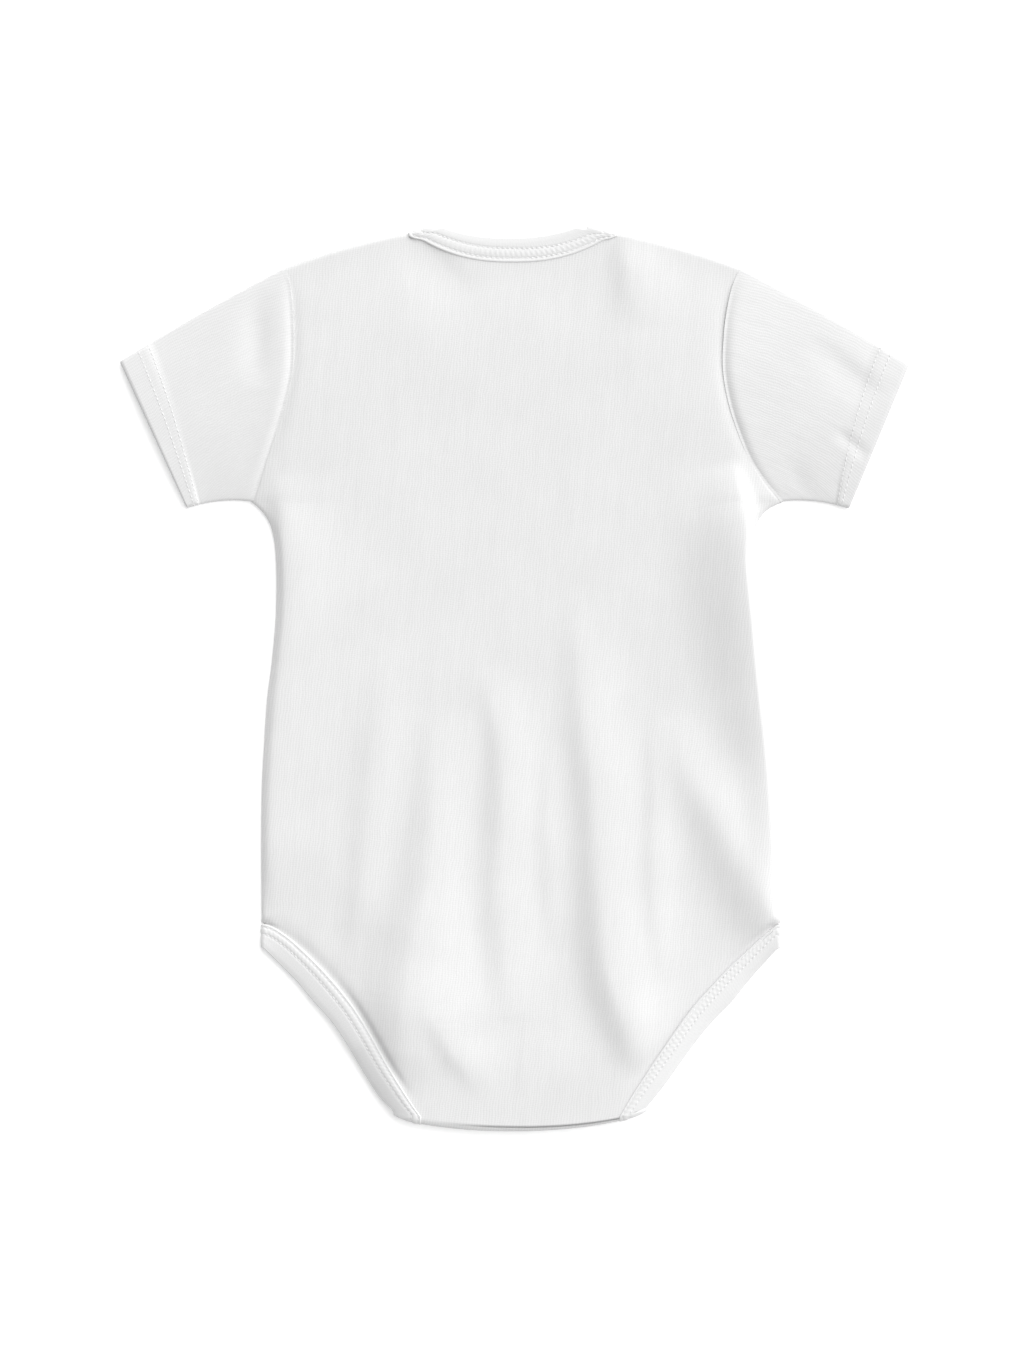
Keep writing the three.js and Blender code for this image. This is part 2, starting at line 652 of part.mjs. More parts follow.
// One sleeve: a flattened tube from the armhole to the cuff. Each ring runs over the upper layer from
// the shoulder fold to the underarm, and back along the lower layer.
function sleeveGrid(side, folds) {
  const topCorner = new THREE.Vector3(neck.middle + shoulder.tipHalf * side, shoulder.tipY, 0);
  const [underarmY, underarmHalf, underarmLean] = armhole[0];
  const underCorner = new THREE.Vector3(underarmLean + underarmHalf * side, underarmY, 0);
  const { topX, topY: cuffTopY, underX, underY } = side < 0 ? cuff.left : cuff.right;
  const cuffTop = new THREE.Vector3(topX, cuffTopY, 0);
  const cuffUnder = new THREE.Vector3(underX, underY, 0);
  const hemStart = 1 - hem.width / topCorner.distanceTo(cuffTop);
  const steps = [...sleeveRings, hemStart - 0.01, hemStart + 0.01, 0.95, 1];
  const armholeAt = (w) => inset(seamPoints(armhole, side, [1 - w])[0], -seamInset);
  const place = (s, w) => {
    const top = topCorner.clone().lerp(cuffTop, s);
    top.y += 4 * sleeve.topBulge * s * (1 - s);
    const under = underCorner.clone().lerp(cuffUnder, s);
    under.y += 4 * sleeve.underBulge * s * (1 - s);
    const straight = topCorner.clone().lerp(underCorner, w);
    const point = top.lerp(under, w);
    point.add(armholeAt(w).sub(straight).multiplyScalar(1 - s));
    point.x -= side * lip * s;
    return point;
  };
  return steps.map((s) => {
    const hemmed = s > hemStart;
    const radius = (hemmed ? hem : sleeve).edgeRadius;
    const wall = hemmed ? hemCloth : cloth;
    const high = place(s, 0).distanceTo(place(s, 1));
    const edge = (radius + wall / 2 + seamInset / 3) / high;
    const lower = wall / 2;
    const upper = shares(rowCount.armhole).map((w) => {
      const point = place(s, mix(edge, 1 - edge, w));
      const puff = hemmed ? hem.puff : mix(armholeRise, sleeve.puff, ease(s, 0, 0.1));
      const fromSeam = armholeAt(w).distanceTo(point);
      const shape = puff - seamDitch(fromSeam) + foldLift(folds, point.x, point.y);
      point.z = lower + 2 * radius + shape * Math.sin(Math.PI * w) ** 0.8;
      return point;
    });
    const under = shares(rowCount.armhole).map((w) => place(s, mix(1 - edge, edge, w)).setZ(lower));
    const turnAt = (w, outward) =>
      [0.25, 0.5, 0.75].map((share) => {
        const turn = Math.PI * share;
        const point = place(s, w + (outward * radius * Math.sin(turn)) / high);
        return point.setZ(lower + radius * (1 + outward * Math.cos(turn)));
      });
    return [...upper, ...turnAt(1 - edge, 1), ...under, ...turnAt(edge, -1)];
  });
}

// The closed wall around a grid of middle points. thicknessAt gives the wall at row i and column j.
// flip turns the outer face to the other side; loopRows and loopColumns close the grid on itself.
function wallGeometry(grid, thicknessAt, { flip = false, loopRows = false, loopColumns = false } = {}) {
  const rowTotal = grid.length;
  const columnTotal = grid[0].length;
  const step = (i, n, count, loop) =>
    loop ? (i + n + count) % count : THREE.MathUtils.clamp(i + n, 0, count - 1);
  const at = (i, j) => grid[i][j];
  const positions = [];
  const add = (v) => positions.push(v.x, v.y, v.z) / 3 - 1;
  const outer = [];
  const inner = [];
  const lips = [];
  for (let i = 0; i < rowTotal; i++) {
    outer.push([]);
    inner.push([]);
    lips.push([]);
    for (let j = 0; j < columnTotal; j++) {
      const point = at(i, j);
      const along = at(step(i, 1, rowTotal, loopRows), j).clone().sub(at(step(i, -1, rowTotal, loopRows), j));
      const across = at(i, step(j, 1, columnTotal, loopColumns))
        .clone()
        .sub(at(i, step(j, -1, columnTotal, loopColumns)));
      const normal = across.clone().cross(along).normalize();
      if (flip) normal.negate();
      const half = thicknessAt(i, j) / 2;
      outer[i].push(add(point.clone().addScaledVector(normal, half)));
      inner[i].push(add(point.clone().addScaledVector(normal, -half)));
      const out = new THREE.Vector3();
      if (!loopRows && i === 0) out.sub(along.normalize());
      if (!loopRows && i === rowTotal - 1) out.add(along.normalize());
      if (!loopColumns && j === 0) out.sub(across.normalize());
      if (!loopColumns && j === columnTotal - 1) out.add(across.normalize());
      const onEdge = out.length() > 0;
      lips[i].push(onEdge ? add(point.clone().addScaledVector(out.normalize(), lip)) : -1);
    }
  }
  const indices = [];
  const quad = (a, b, c, d) => {
    if (flip) indices.push(a, c, b, a, d, c);
    else indices.push(a, b, c, a, c, d);
  };
  const rowEnd = loopRows ? rowTotal : rowTotal - 1;
  const columnEnd = loopColumns ? columnTotal : columnTotal - 1;
  for (let i = 0; i < rowEnd; i++) {
    for (let j = 0; j < columnEnd; j++) {
      const i1 = (i + 1) % rowTotal;
      const j1 = (j + 1) % columnTotal;
      quad(outer[i][j], outer[i][j1], outer[i1][j1], outer[i1][j]);
      quad(inner[i][j], inner[i1][j], inner[i1][j1], inner[i][j1]);
    }
  }
  const closeEdge = (i, j, i1, j1) => {
    quad(outer[i][j], lips[i][j], lips[i1][j1], outer[i1][j1]);
    quad(lips[i][j], inner[i][j], inner[i1][j1], lips[i1][j1]);
  };
  if (!loopRows) {
    for (let j = 0; j < columnEnd; j++) {
      closeEdge(0, j, 0, (j + 1) % columnTotal);
      closeEdge(rowTotal - 1, (j + 1) % columnTotal, rowTotal - 1, j);
    }
  }
  if (!loopColumns) {
    for (let i = 0; i < rowEnd; i++) {
      closeEdge((i + 1) % rowTotal, 0, i, 0);
      closeEdge(i, columnTotal - 1, (i + 1) % rowTotal, columnTotal - 1);
    }
  }
  const geometry = new THREE.BufferGeometry();
  geometry.setAttribute("position", new THREE.Float32BufferAttribute(positions, 3));
  geometry.setIndex(indices);
  geometry.computeVertexNormals();
  return geometry;
}

function piece(name, geometry, look) {
  const mesh = new THREE.Mesh(geometry, new THREE.MeshStandardMaterial(looks[look]));
  mesh.name = name;
  return mesh;
}

// A turned disc from its profile of radius and height pairs, which starts and ends on the axis.
// Its height runs up, or down if it is turned over.
function turned(name, profile, x, z, over = false) {
  const points = profile.map(([r, h]) => new THREE.Vector2(r, h));
  const mesh = piece(name, new THREE.LatheGeometry(points, snap.segments), "snap");
  mesh.rotation.x = over ? -Math.PI / 2 : Math.PI / 2;
  mesh.position.set(x, snap.y, z);
  return mesh;
}

// One closed snap: outer cap, socket, stud and inner cap, with the tongue and the flap between them.
function snapPieces(number) {
  const x = flap.lean + (number - 2) * snap.spacing;
  const capProfile = [
    [0, 0],
    [cap.radius - cap.round, 0],
    [cap.radius, cap.round],
    [cap.radius, cap.height],
    [0, cap.height],
  ];
  const wellZ = socket.height - socket.wellDepth;
  const socketProfile = [
    [0, 0],
    [socket.radius, 0],
    [socket.radius, socket.height],
    [socket.wellRadius, socket.height],
    [socket.wellRadius, wellZ],
    [0, wellZ],
  ];
  const studProfile = [
    [0, -stud.bossHeight],
    [stud.bossRadius, -stud.bossHeight],
    [stud.bossRadius, 0],
    [stud.radius, 0],
    [stud.radius, stud.height],
    [0, stud.height],
  ];
  const socketZ = tongueTopZ + gap;
  return [
    turned(`snap_${number}_outer_cap`, capProfile, x, 0),
    turned(`snap_${number}_socket`, socketProfile, x, socketZ),
    turned(`snap_${number}_stud`, studProfile, x, socketZ + socket.height + gap),
    turned(`snap_${number}_inner_cap`, capProfile, x, snapTopZ, true),
  ];
}

const panelWall = () => cloth;
const sleeveWall = (i) => (i >= sleeveRings.length + 1 ? hemCloth : cloth);
const bindingWall = (i, j) => [1.5, binding, binding, 1.3][j]; // thinner at its two edges

const onesie = new THREE.Group();
onesie.add(
  piece("back_panel", wallGeometry(backPanelGrid(), panelWall), "knit"),
  piece("front_panel", wallGeometry(frontPanelGrid(), panelWall), "knit"),
  piece("neck_binding", wallGeometry(neckBindingGrid(), bindingWall, { loopRows: true }), "rib"),
);
for (const [name, side] of [["left", -1], ["right", 1]]) {
  const flip = side > 0;
  const tube = wallGeometry(sleeveGrid(side, sleeveFolds[name]), sleeveWall, { flip, loopColumns: true });
  const strip = wallGeometry(legBindingGrid(side), bindingWall, { flip });
  onesie.add(piece(`sleeve_${name}`, tube, "knit"), piece(`leg_binding_${name}`, strip, "rib"));
}
onesie.add(...snapPieces(1), ...snapPieces(2), ...snapPieces(3));

export default onesie;
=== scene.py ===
import math
import bmesh
import bpy
import numpy as np
from mathutils import Matrix


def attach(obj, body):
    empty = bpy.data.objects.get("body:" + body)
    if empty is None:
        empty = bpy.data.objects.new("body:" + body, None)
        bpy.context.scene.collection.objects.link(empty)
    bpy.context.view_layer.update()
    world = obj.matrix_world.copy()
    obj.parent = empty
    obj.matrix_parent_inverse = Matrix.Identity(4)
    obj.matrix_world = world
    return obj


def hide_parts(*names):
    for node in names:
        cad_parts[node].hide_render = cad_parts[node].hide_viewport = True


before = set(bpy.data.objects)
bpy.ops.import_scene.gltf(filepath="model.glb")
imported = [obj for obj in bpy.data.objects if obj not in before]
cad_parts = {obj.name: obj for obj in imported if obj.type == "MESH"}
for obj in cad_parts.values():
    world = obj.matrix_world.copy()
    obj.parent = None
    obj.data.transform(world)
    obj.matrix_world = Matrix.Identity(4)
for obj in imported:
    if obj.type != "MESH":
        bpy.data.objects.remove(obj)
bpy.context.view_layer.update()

# Baby bodysuit in white cotton jersey, laid flat on its front, back up. All sizes below are in mm.
# Left and right are as the back is seen from above, +Y is towards the neck, +Z is up.
mm = 0.001


# Small helpers
def mix(a, b, t):
    return a + (b - a) * t


def ease(x, low, high):
    t = np.clip((x - low) / (high - low), 0, 1)
    return t * t * (3 - 2 * t)


def unit(v):
    return v / np.maximum(np.linalg.norm(v, axis=-1, keepdims=True), 1e-9)


def smoothLine(points, steps=16):  # dense points of the smooth curve through a table of x, y, ...
    p = np.asarray(points, float)
    p = np.vstack([2 * p[0] - p[1], p, 2 * p[-1] - p[-2]])
    gaps = np.maximum(np.linalg.norm(np.diff(p[:, :2], axis=0), axis=1), 1e-6) ** 0.5
    t = np.linspace(0, 1, steps, endpoint=False)[:, None]
    parts = []
    for i in range(1, len(p) - 2):
        g0, g1, g2 = gaps[i - 1:i + 2]
        step = p[i + 1] - p[i]
        m0 = g1 * ((p[i] - p[i - 1]) / g0 - (p[i + 1] - p[i - 1]) / (g0 + g1) + step / g1)
        m1 = g1 * (step / g1 - (p[i + 2] - p[i]) / (g1 + g2) + (p[i + 2] - p[i + 1]) / g2)
        parts.append((2 * t**3 - 3 * t**2 + 1) * p[i] + (t**3 - 2 * t**2 + t) * m0
                     + (3 * t**2 - 2 * t**3) * p[i + 1] + (t**3 - t**2) * m1)
    return np.vstack(parts + [p[-2:-1]])


def lengths(line):
    return np.concatenate([[0], np.cumsum(np.linalg.norm(np.diff(line, axis=0), axis=1))])


def alongLine(line, shares):  # points at shares of a line's length
    at = lengths(line[:, :2])
    return np.stack([np.interp(np.asarray(shares) * at[-1], at, column) for column in line.T], -1)


def besideLine(xy, line):  # distance to the nearest place on a line, its side, and its values there
    best = np.full(xy.shape[:-1], np.inf)
    side = np.ones(xy.shape[:-1])
    values = np.zeros(xy.shape[:-1] + (line.shape[1] - 2,))
    for a, b in zip(line[:-1], line[1:]):
        d = b[:2] - a[:2]
        t = np.clip(((xy - a[:2]) @ d) / max(d @ d, 1e-12), 0, 1)
        off = xy - a[:2] - t[..., None] * d
        gap = np.hypot(off[..., 0], off[..., 1])
        near = gap < best
        best = np.where(near, gap, best)
        side = np.where(near, np.where(off[..., 1] * d[0] - off[..., 0] * d[1] > 0, 1.0, -1.0), side)
        values = np.where(near[..., None], mix(a[2:], b[2:], t[..., None]), values)
    return best, side, values


def foldLift(folds, x, y):  # how much a list of folds lifts the cloth; lift < 0 is a trough
    xy = np.stack([x, y], -1)
    total = np.zeros(x.shape)
    for fold in folds:
        gap, side, values = besideLine(xy, smoothLine(fold, 6))
        lift, left, right = np.moveaxis(values, -1, 0)
        total += lift * np.exp(-(gap / np.maximum(np.where(side < 0, left, right), 0.5)) ** 2)
    return total


def roll(distance, width, depth):  # how far a rounded edge drops, at a distance in from it
    t = 1 - np.clip(distance / width, 0, 1)
    return depth * (1 - np.sqrt(np.maximum(0, 1 - t * t)))


def gridNormals(grid, closed=False):  # of a grid of points: across x along
    if closed:
        ring = np.concatenate([grid[:, -2:-1], grid, grid[:, 1:2]], 1)
        across = (ring[:, 2:] - ring[:, :-2])
    else:
        across = np.gradient(grid, axis=1)
    return unit(np.cross(across, np.gradient(grid, axis=0)))


def gridMesh(xyz, uv, weld=False):  # a bmesh grid laid on points, with its cloth coordinates
    rows, columns = xyz.shape[:2]
    bm = bmesh.new()
    bmesh.ops.create_grid(bm, x_segments=columns - 1, y_segments=rows - 1, size=1)
    spot = np.array([vert.co[:2] for vert in bm.verts]) / 2 + 0.5
    j, i = np.rint(spot * [columns - 1, rows - 1]).astype(int).T
    layer = bm.loops.layers.uv.new("cloth")
    places, marks = (xyz[i, j] * mm).tolist(), (uv[i, j] * 0.01).tolist()
    for vert, place in zip(bm.verts, places):
        vert.co = place
    for face in bm.faces:
        for loop in face.loops:
            loop[layer].uv = marks[loop.vert.index]
    if weld:
        bmesh.ops.remove_doubles(bm, verts=bm.verts, dist=1e-7)
    return bm


def addPiece(name, bm, material, nodes, wall=0):
    for face in bm.faces:
        face.smooth = True
    for edge in bm.edges:
        edge.smooth = not edge.is_boundary  # so that a wall's rim doesn't shade its face
    mesh = bpy.data.meshes.new(name)
    bm.to_mesh(mesh)
    bm.free()
    mesh.materials.append(material)
    piece = bpy.data.objects.new(name, mesh)
    bpy.context.collection.objects.link(piece)
    if wall:
        solid = piece.modifiers.new("wall", "SOLIDIFY")
        solid.thickness = wall * mm
        solid.offset = -1
    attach(piece, "root")
    if nodes:
        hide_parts(*nodes)
    return piece


# Materials
def hexColor(code):
    parts = [int(code[k:k + 2], 16) / 255 for k in (1, 3, 5)]
    return [c / 12.92 if c <= 0.04045 else ((c + 0.055) / 1.055) ** 2.4 for c in parts] + [1.0]


def addNode(tree, kind, inputs=None, **settings):  # a node, its settings, and its inputs or links
    node = tree.nodes.new(kind)
    for key, value in settings.items():
        setattr(node, key, value)
    for key, value in (inputs or {}).items():
        if isinstance(value, bpy.types.NodeSocket):
            tree.links.new(value, node.inputs[key])
        else:
            node.inputs[key].default_value = value
    return node


def addRamp(tree, fac, tones, low=0.0, high=1.0):  # from a cloth's shade to its light colour
    ramp = addNode(tree, "ShaderNodeValToRGB", {"Fac": fac})
    for element, spot, tone in zip(ramp.color_ramp.elements, (low, high), ("shade", "light")):
        element.position = spot
        element.color = hexColor(tones[tone])
    return ramp


def newMaterial(name, **shader):
    material = bpy.data.materials.new(name)
    material.use_nodes = True
    tree = material.node_tree
    bsdf = tree.nodes["Principled BSDF"]
    for key, value in shader.items():
        bsdf.inputs[key].default_value = value
    return material, tree, bsdf


# Single jersey: cotton yarn knitted in one bed. Soft and matt, with fine upright wales that wander.
jersey = {"light": "#E5E5E5", "shade": "#D4D4D4", "waleMm": 1.26, "courseMm": 0.9, "lean": 0.12}


def makeJersey():
    material, tree, bsdf = newMaterial("cottonJerseyKnitted", **{
        "Roughness": 0.93, "IOR": 1.47, "Sheen Weight": 0.12, "Sheen Roughness": 0.5,
        "Specular IOR Level": 0.25})
    cloth = addNode(tree, "ShaderNodeUVMap", uv_map="cloth")
    turned = addNode(tree, "ShaderNodeMapping", {"Vector": cloth.outputs["UV"]})
    turned.inputs["Rotation"].default_value = (0, 0, jersey["lean"])
    # A wave of scale s has a period of 2 pi / (20 s), and the UVs are in units of 100 mm
    waves = 2 * math.pi / 20 / (jersey["waleMm"] / 100)
    wander = addNode(tree, "ShaderNodeTexNoise", {"Vector": turned.outputs["Vector"], "Scale": 9.0,
                                                 "Detail": 3.0})
    bent = addNode(tree, "ShaderNodeVectorMath", {0: wander.outputs["Color"], 1: (0.03, 0.02, 0)},
                   operation="MULTIPLY")
    place = addNode(tree, "ShaderNodeVectorMath", {0: turned.outputs["Vector"], 1: bent.outputs[0]})
    wales = addNode(tree, "ShaderNodeTexWave", {"Vector": place.outputs[0], "Scale": waves,
                                              "Distortion": 1.2, "Detail": 2.0, "Detail Scale": 2.0},
                    bands_direction="X")
    courses = addNode(tree, "ShaderNodeTexWave",
                      {"Vector": place.outputs[0], "Scale": waves * jersey["waleMm"] / jersey["courseMm"],
                       "Distortion": 2.0, "Detail": 2.0, "Detail Scale": 1.5}, bands_direction="Y")
    fuzz = addNode(tree, "ShaderNodeTexNoise", {"Vector": cloth.outputs["UV"], "Scale": 140.0,
                                               "Detail": 4.0, "Roughness": 0.7})
    cloud = addNode(tree, "ShaderNodeTexNoise", {"Vector": cloth.outputs["UV"], "Scale": 3.5, "Detail": 3.0})
    streaky = addNode(tree, "ShaderNodeMapping", {"Vector": place.outputs[0]})
    streaky.inputs["Scale"].default_value = (1.0, 0.16, 1.0)
    streaks = addNode(tree, "ShaderNodeTexNoise", {"Vector": streaky.outputs["Vector"], "Scale": 70.0,
                                                  "Detail": 3.0, "Roughness": 0.6})
    lines = addNode(tree, "ShaderNodeMix", {0: 0.5, 2: wales.outputs["Fac"], 3: streaks.outputs["Fac"]})
    weave = addNode(tree, "ShaderNodeMix", {0: 0.2, 2: lines.outputs[0], 3: courses.outputs["Fac"]})
    yarn = addNode(tree, "ShaderNodeMix", {0: 0.45, 2: weave.outputs[0], 3: fuzz.outputs["Fac"]})
    tone = addNode(tree, "ShaderNodeMix", {0: 0.25, 2: yarn.outputs[0], 3: cloud.outputs["Fac"]})
    color = addRamp(tree, tone.outputs[0], jersey, 0.25, 0.75)
    # Faint ripples along the wales, some 8 mm apart
    rippled = addNode(tree, "ShaderNodeMapping", {"Vector": turned.outputs["Vector"]})
    rippled.inputs["Scale"].default_value = (1.0, 0.14, 1.0)
    ripples = addNode(tree, "ShaderNodeTexNoise", {"Vector": rippled.outputs["Vector"], "Scale": 13.0,
                                                  "Detail": 2.0, "Roughness": 0.55})
    soft = addNode(tree, "ShaderNodeBump", {"Strength": 0.18, "Distance": 0.0012,
                                            "Height": ripples.outputs["Fac"]})
    bump = addNode(tree, "ShaderNodeBump", {"Strength": 0.5, "Distance": 0.0002, "Height": yarn.outputs[0],
                                            "Normal": soft.outputs["Normal"]})
    tree.links.new(color.outputs["Color"], bsdf.inputs["Base Color"])
    tree.links.new(bump.outputs["Normal"], bsdf.inputs["Normal"])
    return material


# Rib strip: cotton knitted one and one, cut across and folded over. Slightly denser than the jersey.
ribStrip = {"light": "#E4E4E4", "shade": "#DBDBDB", "ribMm": 1.4}


def makeRib():
    material, tree, bsdf = newMaterial("cottonRibKnitted", **{
        "Roughness": 0.92, "IOR": 1.47, "Sheen Weight": 0.12, "Sheen Roughness": 0.5,
        "Specular IOR Level": 0.25})
    cloth = addNode(tree, "ShaderNodeUVMap", uv_map="cloth")
    waves = 2 * math.pi / 20 / (ribStrip["ribMm"] / 100)
    ribs = addNode(tree, "ShaderNodeTexWave", {"Vector": cloth.outputs["UV"], "Scale": waves,
                                             "Distortion": 1.0, "Detail": 2.0, "Detail Scale": 3.0},
                   bands_direction="Y")
    fuzz = addNode(tree, "ShaderNodeTexNoise", {"Vector": cloth.outputs["UV"], "Scale": 150.0,
                                               "Detail": 4.0, "Roughness": 0.7})
    yarn = addNode(tree, "ShaderNodeMix", {0: 0.9, 2: ribs.outputs["Fac"], 3: fuzz.outputs["Fac"]})
    color = addRamp(tree, yarn.outputs[0], ribStrip, 0.2, 0.75)
    bump = addNode(tree, "ShaderNodeBump", {"Strength": 0.35, "Distance": 0.0003, "Height": yarn.outputs[0]})
    tree.links.new(color.outputs["Color"], bsdf.inputs["Base Color"])
    tree.links.new(bump.outputs["Normal"], bsdf.inputs["Normal"])
    return material


# Sewing thread: spun polyester, two ply. A little smoother and brighter than the cloth.
thread = {"light": "#EEEEEE", "shade": "#DCDCDC", "twistMm": 0.5}


def makeThread():
    material, tree, bsdf = newMaterial("polyesterThreadSpun", **{
        "Roughness": 0.7, "IOR": 1.54, "Sheen Weight": 0.1, "Specular IOR Level": 0.35})
    spot = addNode(tree, "ShaderNodeTexCoord")
    twist = addNode(tree, "ShaderNodeTexWave", {
        "Vector": spot.outputs["Object"], "Scale": 2 * math.pi / 20 / (thread["twistMm"] * mm),
        "Distortion": 1.5}, bands_direction="DIAGONAL")
    color = addRamp(tree, twist.outputs["Fac"], thread)
    tree.links.new(color.outputs["Color"], bsdf.inputs["Base Color"])
    return material


# Snaps: brass pressed to shape and enamelled off-white. Even colour under a soft gloss.
enamel = {"light": "#E4E4E0", "shade": "#D9D9D4", "speckMm": 0.6}


def makeEnamel():
    material, tree, bsdf = newMaterial("brassSnapEnamelled", **{
        "Roughness": 0.35, "IOR": 1.5, "Coat Weight": 0.4, "Coat Roughness": 0.2})
    spot = addNode(tree, "ShaderNodeTexCoord")
    speck = addNode(tree, "ShaderNodeTexNoise", {
        "Vector": spot.outputs["Object"], "Scale": 1 / (enamel["speckMm"] * mm), "Detail": 3.0})
    color = addRamp(tree, speck.outputs["Fac"], enamel, 0.35, 0.7)
    bump = addNode(tree, "ShaderNodeBump", {"Strength": 0.1, "Distance": 0.0001,
                                          "Height": speck.outputs["Fac"]})
    tree.links.new(color.outputs["Color"], bsdf.inputs["Base Color"])
    tree.links.new(bump.outputs["Normal"], bsdf.inputs["Normal"])
    return material


# Table: white acrylic sheet under the garment. It glows faintly: painted light that lightens the garment's
# shadows on it.
table = {"light": "#FFFFFF", "shade": "#FDFDFD", "grainMm": 2.0, "shadowFillGlow": 0.25}


def makeTable():
    material, tree, bsdf = newMaterial("acrylicMattGlowing", **{"Roughness": 0.8, "Specular IOR Level": 0.2})
    spot = addNode(tree, "ShaderNodeTexCoord")
    grain = addNode(tree, "ShaderNodeTexNoise", {
        "Vector": spot.outputs["Object"], "Scale": 1 / (table["grainMm"] * mm), "Detail": 2.0})
    color = addRamp(tree, grain.outputs["Fac"], table)
    tree.links.new(color.outputs["Color"], bsdf.inputs["Base Color"])
    # The glow is painted light that lightens the garment's shadows on the table, not a lamp
    bsdf.inputs["Emission Color"].default_value = (1, 1, 1, 1)
    bsdf.inputs["Emission Strength"].default_value = table["shadowFillGlow"]
    return material


jerseyKnit, ribKnit, sewingThread, snapEnamel = makeJersey(), makeRib(), makeThread(), makeEnamel()
print("materials made")

# The garment's cut, as the solids have it
cut = {
    "cloth": 1.0, "hem": 1.5, "seamInset": 0.45, "foldInset": 2.1, "seamZ": 1.3,
    # Columns: y, half width, lean of the middle
    "legSeam": [
        (-199.0, 44.6, 2.6), (-195.0, 47.2, 2.3), (-188.0, 51.6, 2.1), (-175.0, 59.9, 2.4),
        (-162.0, 68.0, 3.3), (-150.0, 76.1, 3.9), (-140.0, 84.5, 4.5), (-132.0, 91.9, 4.7),
        (-125.0, 99.2, 4.9), (-117.5, 107.5, 4.7), (-112.6, 114.5, 3.9), (-111.4, 118.2, 3.1)],
    "sideSeam": [
        (-111.4, 118.2, 3.1), (-92.0, 118.3, 3.0), (-65.0, 117.6, 2.3), (-46.0, 116.6, 1.7),
        (-28.0, 115.2, 1.3), (-10.0, 113.6, 0.9), (5.0, 111.8, 1.0), (25.0, 109.9, 1.0),
        (40.0, 108.9, 0.5), (54.0, 108.5, -0.2), (63.0, 109.2, -0.4), (70.5, 111.2, -0.5),
        (76.2, 115.4, -0.2), (79.8, 121.0, 1.2)],
    "armhole": [
        (79.8, 121.0, 1.2), (90.0, 114.8, -1.3), (99.0, 110.2, -2.6), (112.0, 105.3, -3.2),
        (125.0, 101.3, -3.3), (140.0, 98.5, -3.0), (155.0, 98.5, -2.6), (167.0, 99.5, -2.1),
        (178.0, 101.4, -1.4), (186.0, 104.4, -0.7)],
    "legEdge": [
        (-195.6, 57.6, 1.6), (-190.5, 62.4, 1.2), (-183.1, 67.8, 1.6), (-174.0, 73.8, 2.1),
        (-164.9, 79.9, 2.8), (-155.8, 86.9, 3.4), (-146.7, 95.5, 3.8), (-137.6, 103.0, 3.6),
        (-128.5, 111.6, 3.1), (-121.7, 118.1, 2.8)],
    "frontLegSeam": [
        (-191.0, 40.5, 2.6), (-180.0, 45.5, 2.6), (-168.0, 51.5, 2.8), (-154.0, 60.0, 3.0),
        (-142.0, 68.5, 3.4), (-132.0, 77.5, 3.6), (-124.0, 86.5, 3.8), (-118.0, 96.0, 3.8),
        (-113.6, 108.0, 3.5), (-111.4, 118.2, 3.1)],
}
neck = {"middle": -0.7, "half": 47.3, "cornerY": 202.4, "backDrop": 14.1, "frontDrop": 50, "power": 2.4}
neckEdge = {"middle": -2.0, "half": 34.8, "cornerY": 206.1, "backDrop": 6.3, "frontDrop": 42, "power": 2.2}
shoulder = {"tipHalf": 104.4, "tipY": 186.0, "bulge": 1.5, "dip": 0.4, "dipWidth": 6}
crotch = {"lowestY": -205.9, "middle": -1, "rise": 5.4, "riseHalf": 52, "power": 2.2,
          "upperZ": 7.6, "lowerZ": 3.0, "radius": 2.3}
flap = {"endY": -163, "endHalf": 40.5, "z": 4.9, "ramp": 9, "lean": 2.6}
tongue = {"endY": -191, "lift": 1.1, "liftFrom": -158, "liftTo": -170}


def seamLine(table, side):
    return smoothLine([(lean + side * half, y) for y, half, lean in cut[table]])


def seamPoints(table, side, shares):  # points on one side's seam, and which way is out of the panel
    line = seamLine(table, side)
    ends = [alongLine(line, np.clip(shares + step, 0, 1)) for step in (-0.003, 0.003)]
    along = unit(ends[1] - ends[0])
    return alongLine(line, shares), np.stack([along[:, 1], -along[:, 0]], -1) * side


def necklineY(line, drop, x):
    across = np.minimum(1, np.abs(x - line["middle"]) / line["half"])
    bowl = line["cornerY"] - drop * (1 - across ** line["power"])
    return bowl - cut["foldInset"] * ease(across, 0.85, 1)


def neckOut(x):  # how far x lies outside the neck's corners
    return np.abs(x - neck["middle"]) - neck["half"]


def topY(drop, x):  # a panel's top edge: shoulder, neckline, shoulder
    out = neckOut(x)
    share = np.clip(out / (shoulder["tipHalf"] - neck["half"]), 0, None)
    straight = mix(neck["cornerY"], shoulder["tipY"], share) + 4 * shoulder["bulge"] * share * (1 - share)
    straight = straight - shoulder["dip"] * (1 - ease(out, 0, shoulder["dipWidth"]))
    return mix(necklineY(neck, drop, x), straight, ease(out, -1.2, 0))


def insetY(line, x, distance):
    slope = (line(x + 0.1) - line(x - 0.1)) / 0.2
    return line(x) - distance * np.hypot(1, slope)


def crotchAxisY(x):  # the line that the crotch folds around
    rise = crotch["rise"] * (np.abs(x - crotch["middle"]) / crotch["riseHalf"]) ** crotch["power"]
    return crotch["lowestY"] + rise + crotch["radius"] + cut["cloth"] / 2


def flapZ(y):
    startY = cut["legSeam"][0][0]
    return mix(crotch["lowerZ"], flap["z"], ease(y, startY, startY + flap["ramp"]))


def legZ(share):
    return mix(crotch["upperZ"], 3.3, ease(share, 0.1, 1))


def sideZ(share):
    return mix(3.3, 1.95, ease(share, 0, 0.14))


def armholeZ(share):
    return 1.95 + 2.9 * np.sin(np.pi * np.clip(share, 0, 1)) ** 0.8


